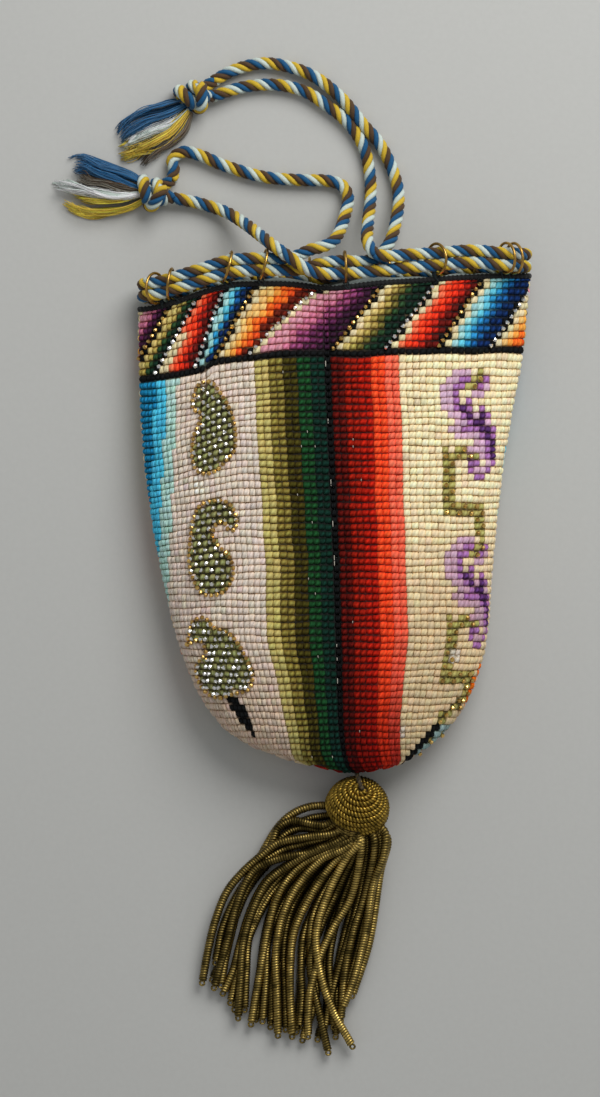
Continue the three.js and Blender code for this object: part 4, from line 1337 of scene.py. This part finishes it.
def smooth_line(points):
    """A smooth curve through points, with as many steps between each two."""
    points = np.array(points, float)
    padded = np.vstack([2 * points[0] - points[1], points, 2 * points[-1] - points[-2]])
    share = (np.arange(CURVE_STEPS) / CURVE_STEPS)[:, None]
    curve = []
    for p0, p1, p2, p3 in zip(padded, padded[1:], padded[2:], padded[3:]):
        d0, d1, d2 = (math.sqrt(np.linalg.norm(b - a)) for a, b in ((p0, p1), (p1, p2), (p2, p3)))
        leave = d1 * ((p1 - p0) / d0 - (p2 - p0) / (d0 + d1) + (p2 - p1) / d1)
        reach = d1 * ((p2 - p1) / d1 - (p3 - p1) / (d1 + d2) + (p3 - p2) / d2)
        curve.append(bridge(p1, p2, leave, reach, share))
    return np.vstack([*curve, points[-1:]])


def twist_of(line, pitch, outward=None):
    """A line with its normals and sides, and the angle of a twisted cord at each point."""
    return (line, *line_frame(line, outward)[1:], run_of(line) / pitch * TURN)


def add_rope(work, twist, circle, ply_radius, colours, sides=PLY_SIDES):
    """One ply of each colour, twisted together."""
    line, normal, side, turn = twist
    for ply, colour in enumerate(colours):
        angle = (turn + ply / len(colours) * TURN)[:, None]
        outward = np.cos(angle) * normal + np.sin(angle) * side
        add_tube(work, line + circle * outward, ply_radius, sides, dye(colour), outward)


cord_pieces, cord_lines = {}, {}
for name, stretches in DRAWSTRINGS.items():
    curve = smooth_line([point for stretch in stretches.values() for point in stretch])
    curve_run = run_of(curve)
    first, held = [len(stretch) for stretch in stretches.values()][:2]
    cuts = (0.0, curve_run[first * CURVE_STEPS], curve_run[(first + held - 1) * CURVE_STEPS], curve_run[-1])
    twist = twist_of(spaced(curve, CORD_STEP), CORD_PITCH)
    run = run_of(twist[0])
    for stretch, start, end in zip(stretches, cuts, cuts[1:]):
        inside = (run >= start - CORD_STEP / 2) & (run <= end + CORD_STEP / 2)
        node = name + "_" + stretch
        rope = Work()
        add_rope(rope, [part[inside] for part in twist], PLY_CIRCLE, PLY_RADIUS, PLY_COLOURS)
        cord_pieces[node] = rope.finish(node.replace("drawstring", "cord"), yarn_finish, "cord", node)
        cord_lines[node] = twist[0][inside]


# Knots and tufts
# The two ends of each cord are tied together in one tight knot. Past it the plies are left untwisted and
# fray into a soft flat tuft of the same four colours.

KNOTS = {
    "knot_a": {"place": (-56.0, 223.6, 5.6), "axis": (-0.86, -0.5, 0.0), "cord": "drawstring_a_outer"},
    "knot_b": {"place": (-72.4, 184.4, 5.6), "axis": (-1.0, 0.06, 0.0), "cord": "drawstring_b_upper"},
}
KNOT_TURNS = 2.6
KNOT_START = -0.5
KNOT_STEPS, KNOT_EVERY, KNOT_STEP = 190, 6, 0.8
KNOT_PITCH = 10.5
KNOT_CLEAR = 0.05
KNOT_ROUTE = np.array([
    # share of the way, place along the axis, distance from it
    (0.0, -5.0, 3.2),
    (0.62, 4.2, 3.6),
    (0.74, 5.2, 5.2),
    (0.9, -0.4, 6.1),
    (1.0, -4.6, 4.1),
])
KNOT_CORE = 3.0
# Locks of the tufts: ply, half width, and the places along the middle of the lock
TUFTS = {
    "tuft_a": (
        (0, 3.5, ((186, 101), (166, 109), (146, 116), (128, 126), (116, 140))),
        (1, 2.6, ((187, 106), (170, 120), (150, 128), (132, 137), (119, 147))),
        (2, 3.0, ((188, 109), (170, 130), (150, 141), (133, 148), (117, 154))),
        (3, 3.2, ((189, 110), (180, 128), (165, 140), (150, 150), (138, 163))),
    ),
    "tuft_b": (
        (0, 3.6, ((145, 187), (122, 177), (99, 169), (78, 162), (62, 166))),
        (3, 3.0, ((145, 189), (122, 185), (103, 178), (87, 177), (77, 171))),
        (1, 2.8, ((145, 191), (118, 194), (93, 190), (70, 186), (50, 183))),
        (2, 3.4, ((145, 193), (123, 201), (98, 204), (77, 200), (60, 193))),
    ),
}
LOCK_SHAPE = np.array([
    # share of the way, half width as a share of the lock's, height of the top
    (0.0, 0.6, 6.6),
    (0.2, 1.05, 7.6),
    (0.55, 1.15, 7.2),
    (0.8, 1.1, 5.6),
    (1.0, 0.8, 3.2),
])
LOCK_CLUMPS = 9
CLUMP_FIBRES = 14
CLUMP_WAVE, FIBRE_WAVE, STRAY_WAVE = 0.95, 0.32, 1.4
CLUMP_LAYERS, CLUMP_REACH, CLUMP_BEAT = (0.05, 1), (0.8, 1.0), (5, 9)
FIBRE_REACH, FIBRE_BEAT = (0.86, 1.0), (8, 18)
PHASES = (0, 6)
LOCK_EDGE, LOCK_EDGE_HEIGHT = 1.1, 0.2
TUFT_TONE, TUFT_TONE_SPREAD = 1.6, 0.32
PALE_PLY = 1
# How far the fibres of each ply may fade towards the pale one
FADE = (0.06, 0.0, 0.1, 0.2)
STRAY_SHARE = 0.1
CLUMP_SPREAD = 0.16
FIBRE_RADIUS, FIBRE_TAPER, FIBRE_LOWEST = 0.24, (1.15, 0.6), 0.35
FIBRE_DYES = (0.002, 0.95)
FIBRE_STEPS = 16
FIBRE_SIDES = 3

for name, knot in KNOTS.items():
    axis = unit(np.array(knot["axis"]))
    beside = np.array((-axis[1], axis[0], 0.0))
    share = np.linspace(0, 1, KNOT_STEPS)
    angle = (KNOT_START + 2 * KNOT_TURNS * share) * math.pi
    along, away = (np.interp(share, KNOT_ROUTE[:, 0], KNOT_ROUTE[:, column])[:, None] for column in (1, 2))
    centre = np.array(knot["place"])
    outward = np.cos(angle)[:, None] * beside + np.sin(angle)[:, None] * (0, 0, 1)
    wraps = centre + along * axis + away * outward
    wraps = spaced(smooth_line(wraps[::KNOT_EVERY]), KNOT_STEP)
    wraps[:, 2] = np.maximum(wraps[:, 2], PLY_RADIUS + PLY_CIRCLE + KNOT_CLEAR)
    lines = [wraps]
    for cord_name, cord_line in cord_lines.items():
        cord, stretch = cord_name.rsplit("_", 1)
        if knot["cord"].startswith(cord) and stretch != "run":
            end = cord_line[0] if stretch in ("inner", "lower") else cord_line[-1]
            lines.append(spaced(np.array([end, (end + centre) / 2, centre + KNOT_CORE * axis]), KNOT_STEP))
    rope = Work()
    for line in lines:
        add_rope(rope, twist_of(line, KNOT_PITCH), PLY_CIRCLE, PLY_RADIUS, PLY_COLOURS)
    knot["piece"] = rope.finish("tied_" + name, yarn_finish, "cord", name)

lock_share, lock_wide, lock_high = LOCK_SHAPE.T
for name, locks in TUFTS.items():
    fray = Work()
    for ply, half, places in locks:
        spine = smooth_line([plan(*place) for place in places])
        length = run_of(spine)[-1]
        for clump in range(LOCK_CLUMPS):
            lane, layer = draw.uniform(-1, 1), draw.uniform(*CLUMP_LAYERS)
            reach, swing = draw.uniform(*CLUMP_REACH), draw.normal(0, CLUMP_WAVE, 2)
            phase, beat = draw.uniform(*PHASES), draw.uniform(*CLUMP_BEAT)
            for fibre in range(CLUMP_FIBRES):
                share = np.linspace(0, reach * draw.uniform(*FIBRE_REACH), FIBRE_STEPS)
                x, y = follow(spine, share * length).T
                forward = unit(np.stack([np.gradient(x), np.gradient(y)], -1))
                wide, high = (np.interp(share, lock_share, part) for part in (lock_wide, lock_high))
                wave = draw.normal(0, STRAY_WAVE if draw.uniform() < STRAY_SHARE else FIBRE_WAVE, 2)
                bend = np.sin(share * draw.uniform(*FIBRE_BEAT) + draw.uniform(*PHASES)) * share
                clump_bend = np.sin(share * beat + phase) * share
                lean = np.clip(lane + draw.normal(0, CLUMP_SPREAD), -LOCK_EDGE, LOCK_EDGE)
                out = lean * wide * half + swing[0] * clump_bend + wave[0] * bend
                top = high * math.sqrt(max(1 - lean * lean, LOCK_EDGE_HEIGHT))
                z = layer * top + draw.normal(0, CLUMP_SPREAD) * 2 + swing[1] * clump_bend + wave[1] * bend
                z = np.maximum(z, FIBRE_LOWEST)
                line = np.stack([x - forward[:, 1] * out, y + forward[:, 0] * out, z], -1)
                faded = FADE[ply] * draw.uniform()
                shade = (1 - faded) * dye(PLY_COLOURS[ply]) + faded * dye(PLY_COLOURS[PALE_PLY])
                shade = np.clip(shade * draw.normal(TUFT_TONE, TUFT_TONE_SPREAD), *FIBRE_DYES)
                taper = FIBRE_RADIUS * np.linspace(*FIBRE_TAPER, FIBRE_STEPS)[:, None]
                add_tube(fray, line, taper, FIBRE_SIDES, shade)
    fray.finish("frayed_" + name, yarn_finish, "tuft_wool", name)

for name, line in cord_lines.items():
    if name.endswith("_run"):
        continue
    from_rings = line if name.endswith(("outer", "upper")) else line[::-1]
    for knot_name, knot in KNOTS.items():
        knot["cord"] == name
    tuple(from_rings[0] * MM)
    (from_rings * MM).tolist()


# Tassel head
# The tassel hangs from the drawn-together bottom by a short cord. Its domed head is a wooden mould wound
# round and round with a stout two-ply cord of tarnished metal thread.

HEAD_RADIUS = 13.2
HEAD_HEIGHT = 13.0
HEAD_BASE = 1.5
HEAD_CENTRE = np.array((9.0, -62.8, 9.6))
HEAD_AXIS = unit(np.array((2.2, 9.4, 10.5)))
GIMP_RADIUS, GIMP_CIRCLE, GIMP_PLY = 1.25, 0.54, 0.5
GIMP_COLOURS = ((255, 255, 255), (255, 255, 255))
GIMP_TURNS, GIMP_END = 8.2, 0.06
GIMP_TWIST = 2.8
GIMP_STEPS, GIMP_STEP, GIMP_SIDES = 2400, 0.3, 6
MOULD_ROWS, MOULD_SIDES = 14, 36
MOULD_INSET, MOULD_TOP, MOULD_FOOT = 1.25, 0.02, 0.1
MOULD_TONES = ((46, 36, 22), (70, 56, 32))
TIE_TOP = np.array((8.4, -46.9, 14.3))
TIE_HIDDEN, TIE_SINK = 1.5, 1.0
TIE_RADIUS, TIE_CIRCLE, TIE_PITCH, TIE_STEP = 0.55, 0.9, 3.0, 0.4
TIE_COLOURS = ((58, 48, 30), (84, 70, 42))

head_across = unit(np.array((HEAD_AXIS[1], -HEAD_AXIS[0], 0.0)))
head_up = np.cross(head_across, HEAD_AXIS)


def on_head(angle, rise, inset):
    """Points of the dome at angles round it and heights from base, 0, to top, pi/2, inset from its face."""
    circle = ((HEAD_RADIUS - inset) * np.cos(rise))[:, None]
    lift = ((HEAD_HEIGHT - inset) * np.sin(rise))[:, None]
    round_it = np.cos(angle)[:, None] * head_across + np.sin(angle)[:, None] * head_up
    return HEAD_CENTRE + circle * round_it + lift * HEAD_AXIS


metal_thread = metal_finish(
    "metal_thread", (184, 152, 66), (76, 62, 20), roughness=0.34, grain=2.2, tarnish=0.9,
)
share = np.linspace(0, 1, GIMP_STEPS)
gimp_rise = (1 - share) * (math.pi / 2 - GIMP_END) - GIMP_END
gimp_line = spaced(on_head(share * GIMP_TURNS * TURN, gimp_rise, GIMP_RADIUS), GIMP_STEP)
gimp_twist = twist_of(gimp_line, GIMP_TWIST, unit(gimp_line - HEAD_CENTRE))
gimp = Work()
add_rope(gimp, gimp_twist, GIMP_RADIUS * GIMP_CIRCLE, GIMP_RADIUS * GIMP_PLY, GIMP_COLOURS, GIMP_SIDES)
gimp.finish("tassel_gimp", metal_thread, "metal_thread", "tassel_head")

mould_finish = Finish("tassel_mould")
mould_finish.skin({
    "Base Color": mould_finish.mix(mould_finish.noise(size=1.5), *map(srgb, MOULD_TONES)),
    "Roughness": 0.8,
})
mould_rise = np.repeat(np.linspace(math.pi / 2 - MOULD_TOP, -MOULD_FOOT, MOULD_ROWS), MOULD_SIDES)
mould_points = on_head(np.tile(around(MOULD_SIDES), MOULD_ROWS), mould_rise, GIMP_RADIUS * MOULD_INSET)
mould_faces, mould_layout = (turned(part) for part in grid_faces(MOULD_ROWS, MOULD_SIDES, joined=True))
mould = Work()
mould.add(mould_points, mould_faces, mould_layout, 1.0)
mould.finish("tassel_mould", mould_finish, "metal_thread")

tie_end = HEAD_CENTRE + HEAD_AXIS * (HEAD_HEIGHT - TIE_SINK)
tie_line = spaced(np.array([TIE_TOP + (0, TIE_HIDDEN, 0), TIE_TOP, tie_end]), TIE_STEP)
tie = Work()
add_rope(tie, twist_of(tie_line, TIE_PITCH), TIE_RADIUS * TIE_CIRCLE, TIE_RADIUS, TIE_COLOURS)
tie.finish("tassel_cord", yarn_finish, "tie_thread", "tassel_tie")


# Tassel skirt
# Thirty-eight strands of bullion, a fine metal wire coiled into a soft tube, hang from under the head and
# lie fanned out on the surface. Each strand ends in a small round loop.

STRAND_RADIUS = 1.78
COIL_PITCH = 1.06
COIL_RIDGE = 0.07
STRAND_TONES = (0.45, 1.15)
# Strands low in the bundle are painted darker, as painted shade under the ones above
SHADED_TONE = 0.6
SHADED_LEVEL, UPPER_LEVEL = 0.6, 0.55
# One strand is painted lighter, as a painted highlight where it catches the lamp
HIGHLIT_STRAND, HIGHLIGHT_TONE = 12, 1.7
STRAND_STEP = COIL_PITCH / 4.5
STRAND_SIDES = 8
DRAPE_DISTANCES = (10.0, 20.0, 30.0, 46.0, 63.0, 80.0, 92.0, 100.0)
DRAPE_HEIGHTS = (15.4, 13.4, 10.6, 8.2, 6.6, 5.6, 4.4, 3.2)
REST_HEIGHT = 1.9
ROOT_SHARE, ROOT_TOP, ROOT_LEVEL = 0.55, 15.5, 0.45
LOOP_RADIUS, LOOP_WIRE, LOOP_REACH = 0.95, 0.42, 1.2
LOOP_STEPS, LOOP_SIDES = 16, 6
# How high the strand lies in the bundle, from 0 to 1, and the places that it passes in plan
STRANDS = (
    (0.62, (-4.7, -69.6), (-17, -68), (-22.7, -71.2), (-25.1, -77), (-31, -86), (-38, -96),
     (-44.6, -110), (-47.6, -124)),
    (0.9, (1, -72.1), (-12.1, -74.5), (-22.7, -76.9), (-29.2, -81.8), (-36.6, -88.4), (-43.1, -96.5),
     (-48, -108.8), (-50.9, -121), (-52.9, -132.1)),
    (1.0, (4.2, -73.7), (-8.8, -80.2), (-21.1, -82.7), (-30.9, -86.7), (-35.8, -93.3), (-39.8, -103.9),
     (-43.1, -116.9), (-48, -134.1)),
    (0.5, (-2, -76), (-16, -84), (-27, -92), (-33.3, -103.1), (-37.4, -116), (-40.7, -128.4),
     (-44.3, -136.5)),
    (0.35, (0, -77), (-14, -87), (-25, -97), (-33, -112), (-38.6, -128), (-41.5, -140.2)),
    (1.0, (7.5, -74.5), (-5.6, -78.6), (-18.6, -85.9), (-26.8, -92.5), (-32.5, -103.1), (-36.6, -116.9),
     (-37.8, -133.3), (-38.6, -146.3)),
    (0.85, (2, -77), (-13.7, -85.9), (-21.9, -96.5), (-26, -108.8), (-29.2, -125.1), (-33.3, -148.8)),
    (0.6, (3, -78), (-14, -88), (-23.5, -100.6), (-26.8, -116.9), (-27.6, -133.3), (-28.8, -147.6)),
    (0.95, (6, -77), (-5.6, -83.5), (-15.4, -94.9), (-21.1, -107.2), (-23.5, -121), (-23.1, -137.4),
     (-22.7, -153.3)),
    (0.9, (8, -77), (-0.7, -85.1), (-10.5, -99.8), (-16.2, -112.9), (-17.8, -129.2), (-17, -153.7)),
    (0.45, (7, -78), (-2, -92), (-9, -108), (-9.4, -122), (-7.2, -137.4), (-12.5, -155.3)),
    (0.7, (9, -78), (2, -94), (-6, -112), (-9.6, -124), (-8.8, -133.3), (-5.6, -147.2), (-2.7, -160.2)),
    (1.0, (10, -76), (5.1, -82), (-2.3, -96.5), (-7.2, -112.9), (-5.6, -129.2), (-0.7, -143.9),
     (6.7, -157.8)),
    (0.95, (10.8, -75.3), (6.7, -98.2), (-0.7, -111.2), (-5.6, -122), (-10, -138), (-10.6, -153.7)),
    (0.8, (15.7, -74.5), (12.4, -96.5), (7.5, -112.9), (4.2, -129.2), (2.6, -147.2)),
    (0.95, (20, -72.1), (19.6, -81.8), (15.7, -92.5), (12.4, -112.9), (7.2, -133.3), (3.6, -142.3)),
    (0.6, (21, -74.5), (18.4, -88.4), (14, -116.9), (7.5, -137.4)),
    (0.0, (-2, -74), (-16, -78), (-27, -86), (-36, -98), (-42, -112), (-46, -130)),
    (0.0, (0, -76), (-14, -82), (-24, -92), (-32, -106), (-36.5, -122), (-40, -143)),
    (0.0, (2, -78), (-10, -86), (-19, -98), (-26, -114), (-30, -130), (-31, -146)),
    (0.0, (4, -78), (-6, -90), (-14, -104), (-20, -120), (-24.6, -136), (-25.6, -150)),
    (0.0, (6, -79), (-1, -94), (-8, -110), (-13, -126), (-14, -140), (-15.2, -152)),
    (0.0, (8, -79), (4, -96), (-2, -112), (-4, -128), (-3, -142), (-6.4, -155)),
    (0.0, (12, -78), (9, -96), (4, -114), (1, -130), (1, -144), (0.6, -154)),
    (0.0, (17, -77), (14, -96), (10, -114), (6, -130), (3.0, -144), (1.6, -150)),
    (0.3, (5, -77), (-8, -88), (-18, -102), (-22, -116), (-25, -132), (-25.4, -148)),
    (0.3, (11, -77), (6, -92), (1, -108), (-2, -124), (-1.4, -138), (-0.4, -150)),
    (0.4, (3, -76), (-11, -83), (-22, -91), (-30, -102), (-34.4, -116), (-35.4, -130), (-36, -143)),
    (0.35, (13, -76), (11, -94), (7, -110), (3, -124), (-0.6, -136), (-3.6, -150)),
    (0.5, (-4, -71.4), (-14, -71), (-21, -74.6), (-25.6, -81), (-32.6, -91), (-38.6, -104),
     (-43.4, -118), (-46, -129)),
    (0.3, (-3, -66), (-11, -67.6), (-19, -72), (-26.6, -82), (-34, -93), (-40, -107), (-44.6, -122),
     (-48.6, -131)),
    (0.7, (-1, -73.4), (-12, -77), (-21, -79.8), (-29, -85), (-34.6, -92), (-39.6, -103), (-42.6, -117),
     (-45.4, -133)),
    (0.5, (18, -74), (16.6, -90), (13, -104), (9.6, -120), (5.4, -134), (2.4, -146)),
    (0.45, (-3, -62), (-10, -62.4), (-17, -65.4), (-22.4, -70.4), (-27, -77.6), (-32.4, -88),
     (-38, -101), (-42, -116), (-44.6, -127)),
    (0.15, (1, -77), (-12, -84), (-22.5, -92), (-29.5, -101), (-34, -113), (-36.5, -126),
     (-38.5, -140)),
    (0.15, (2, -78), (-11, -86), (-20, -95), (-25.5, -105), (-28.4, -117), (-30, -131), (-31.4, -147)),
    (0.2, (4, -78), (-6, -87), (-14, -97), (-18.6, -108), (-20.4, -121), (-20, -136), (-19.6, -151)),
    (0.2, (6, -78), (-1, -90), (-7.6, -102), (-12.4, -114), (-13.4, -127), (-13, -140), (-14, -150)),
)

bullion = metal_finish(
    "bullion", (176, 150, 82), (70, 60, 28), roughness=0.32, grain=4.0, tarnish=0.9, coil=COIL_PITCH,
)
base_centre = HEAD_CENTRE - HEAD_AXIS * (HEAD_BASE + GAP)
skirt = {"upper": Work(), "lower": Work()}
for index, (level, *places) in enumerate(STRANDS):
    places = np.array(places, float)
    root = base_centre[:2] + ROOT_SHARE * (places[0] - base_centre[:2])
    places = np.vstack([root, places])
    distance = np.linalg.norm(places - HEAD_CENTRE[:2], axis=1)
    height = REST_HEIGHT + (np.interp(distance, DRAPE_DISTANCES, DRAPE_HEIGHTS) - REST_HEIGHT) * level
    rooted = base_centre[2] - (places[:2] - base_centre[:2]) @ HEAD_AXIS[:2] / HEAD_AXIS[2]
    height[:2] = np.clip(rooted, REST_HEIGHT, ROOT_TOP)
    height[1] *= ROOT_LEVEL + (1 - ROOT_LEVEL) * level
    height = np.maximum(height, REST_HEIGHT)
    line = spaced(smooth_line(np.hstack([places, height[:, None]])), STRAND_STEP)
    line[:, 2] = np.maximum(line[:, 2], REST_HEIGHT)
    coil = np.cos((run_of(line) / COIL_PITCH * TURN)[:, None] - around(STRAND_SIDES))
    tone = draw.uniform(*STRAND_TONES)
    if index == HIGHLIT_STRAND:
        tone = HIGHLIGHT_TONE
    tone = tone * (SHADED_TONE + (1 - SHADED_TONE) * ease(level, 0.0, SHADED_LEVEL))
    layer = skirt["upper" if level > UPPER_LEVEL else "lower"]
    add_tube(layer, line, STRAND_RADIUS * (1 - COIL_RIDGE + COIL_RIDGE * coil), STRAND_SIDES, tone)
    tangent, normal, side = (part[-1] for part in line_frame(line))
    spread = ellipse(0.0, LOOP_STEPS, tangent, side)
    loop = line[-1] + tangent * LOOP_REACH + LOOP_RADIUS * spread
    add_tube(layer, loop, LOOP_WIRE, LOOP_SIDES, 1.0, spread, closed=True)
skirt["upper"].finish("tassel_strands_upper", bullion, "metal_thread", "tassel_skirt")
skirt["lower"].finish("tassel_strands_lower", bullion, "metal_thread")


# Sizes
# The box of the CAD model and of the finished piece.

size = {"cad": [list(corner) for corner in cad_box], "visual": [list(corner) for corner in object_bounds()]}
